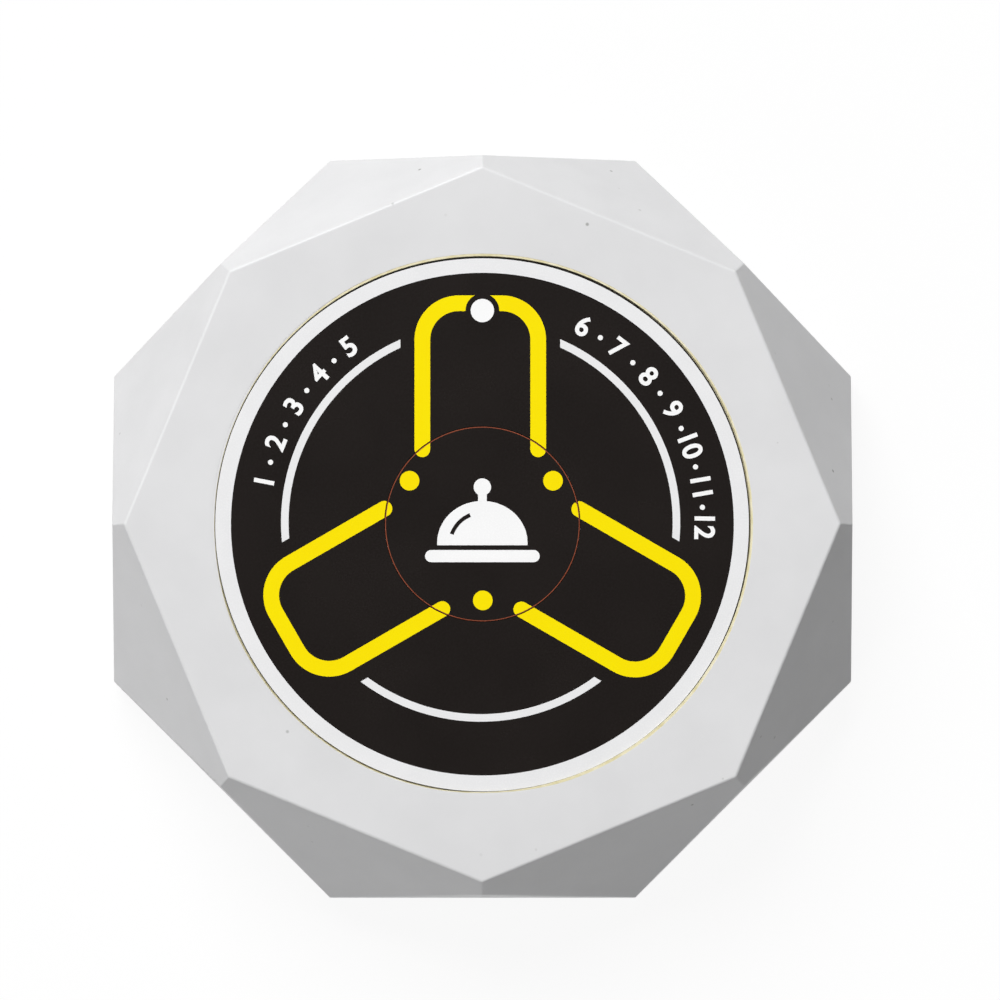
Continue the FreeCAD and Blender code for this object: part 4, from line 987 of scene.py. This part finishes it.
def makeCamera():
    # The lens makes the frame's 1000 pixels cover frame / pixelsPerMm millimetres at the aim's distance.
    data = bpy.data.cameras.new("camera")
    data.sensor_width = view["sensor"]
    data.lens = view["sensor"] * view["distance"] / (view["frame"] / view["pixelsPerMm"])
    data.clip_start, data.clip_end = view["clip"]
    camera = bpy.data.objects.new("camera", data)
    lean = math.radians(view["lean"])
    back = np.array([0, -math.sin(lean), math.cos(lean)])
    camera.location = (np.array(view["aim"]) + back * view["distance"]) * mm
    camera.rotation_euler = (lean, 0, 0)
    bpy.context.scene.collection.objects.link(camera)
    bpy.context.scene.camera = camera


makeCamera()

# Two large soft lamps: turn is from +X, height is above the table, both in degrees. Metres and watts.
lamps = {
    "key": {"turn": 110, "height": 52, "distance": 2.4, "size": 1.7, "power": 66},
    "fill": {"turn": 235, "height": 35, "distance": 2.4, "size": 1.7, "power": 13.3},
}
surroundings = {"sky": 0.028, "ceiling": 0.1, "dim": (0.55, 0.9), "floor": "c8c8c8", "paper": "ffffff",
                "floorGlow": 0.92, "fade": (0.12, 0.5), "size": 4.0}


def makeLamp(name, lamp):
    # an area lamp that points at the middle of the case
    data = bpy.data.lights.new(name, "AREA")
    data.shape, data.size, data.energy = "DISK", lamp["size"], lamp["power"]
    turn, height = math.radians(lamp["turn"]), math.radians(lamp["height"])
    light = bpy.data.objects.new(name, data)
    reach = lamp["distance"] * math.cos(height)
    light.location = (reach * math.cos(turn), reach * math.sin(turn), lamp["distance"] * math.sin(height))
    light.rotation_euler = (math.pi / 2 - height, 0, turn + math.pi / 2)
    bpy.context.scene.collection.objects.link(light)


for name, lamp in lamps.items():
    makeLamp(name, lamp)


def seenDirectly(tree):
    # one for the rays from the camera, from a mirror or through glass
    path = addNode(tree, "LightPath")
    both = addNode(tree, "Math", {"operation": "MAXIMUM"},
                   {0: path.outputs["Is Camera Ray"], 1: path.outputs["Is Glossy Ray"]})
    return addNode(tree, "Math", {"operation": "MAXIMUM"},
                   {0: both, 1: path.outputs["Is Transmission Ray"]}).outputs[0]


def makeWorld():
    # What is seen directly is white at the horizon and dim overhead, and changes while the direction's height
    # passes the two values of dim. The rest is a faint even light.
    world = bpy.data.worlds.new("studio")
    bpy.context.scene.world = world
    world.use_nodes = True
    tree = world.node_tree
    tree.nodes.clear()
    seen = seenDirectly(tree)
    direction = addNode(tree, "TexCoord").outputs["Generated"]
    height = addNode(tree, "SeparateXYZ", None, {0: direction}).outputs["Z"]
    start, stop = surroundings["dim"]
    overhead = addNode(tree, "MapRange", {"interpolation_type": "SMOOTHSTEP", "From Min": start,
                       "From Max": stop, "To Min": 1.0, "To Max": surroundings["ceiling"]}, {"Value": height})
    paper = linear(surroundings["paper"])
    plain = addNode(tree, "Background", {"Color": paper, "Strength": surroundings["sky"]})
    white = addNode(tree, "Background", {"Color": paper}, {"Strength": overhead})
    mix = addNode(tree, "MixShader", None, {0: seen, 1: plain, 2: white})
    addNode(tree, "OutputWorld", None, {"Surface": mix})


def makeFloor():
    # A matt paper floor. Seen directly it is mostly plain white, and the rest keeps the object's shadow,
    # which fades out before the paper's edge.
    half = surroundings["size"] / 2
    mesh = bpy.data.meshes.new("floor")
    corners = [(-half, -half, 0), (half, -half, 0), (half, half, 0), (-half, half, 0)]
    mesh.from_pydata(corners, [], [(0, 1, 2, 3)])
    floor = bpy.data.objects.new("floor", mesh)
    bpy.context.scene.collection.objects.link(floor)
    material = bpy.data.materials.new("paleFloor")
    material.use_nodes = True
    tree = material.node_tree
    tree.nodes.clear()
    seen = seenDirectly(tree)
    place = addNode(tree, "TexCoord").outputs["Object"]
    away = addNode(tree, "VectorMath", {"operation": "LENGTH"}, {0: place}).outputs["Value"]
    near, far = surroundings["fade"]
    glow = addNode(tree, "MapRange", {"interpolation_type": "SMOOTHSTEP", "From Min": near,
                   "From Max": far, "To Min": surroundings["floorGlow"]}, {"Value": away})
    share = addNode(tree, "Math", {"operation": "MULTIPLY"}, {0: seen, 1: glow})
    tone = addNode(tree, "Mix", {"data_type": "RGBA", 6: linear(surroundings["floor"]),
                   7: linear(surroundings["paper"])}, {0: seen})
    paper = addNode(tree, "BsdfDiffuse", None, {"Color": tone.outputs[2]})
    white = addNode(tree, "Emission", {"Color": linear(surroundings["paper"]), "Strength": 1.0})
    mix = addNode(tree, "MixShader", None, {0: share, 1: paper, 2: white})
    addNode(tree, "OutputMaterial", None, {"Surface": mix})
    mesh.materials.append(material)


makeWorld()
makeFloor()
bpy.context.scene.view_settings.view_transform = "Standard"
print("camera, light and floor made")
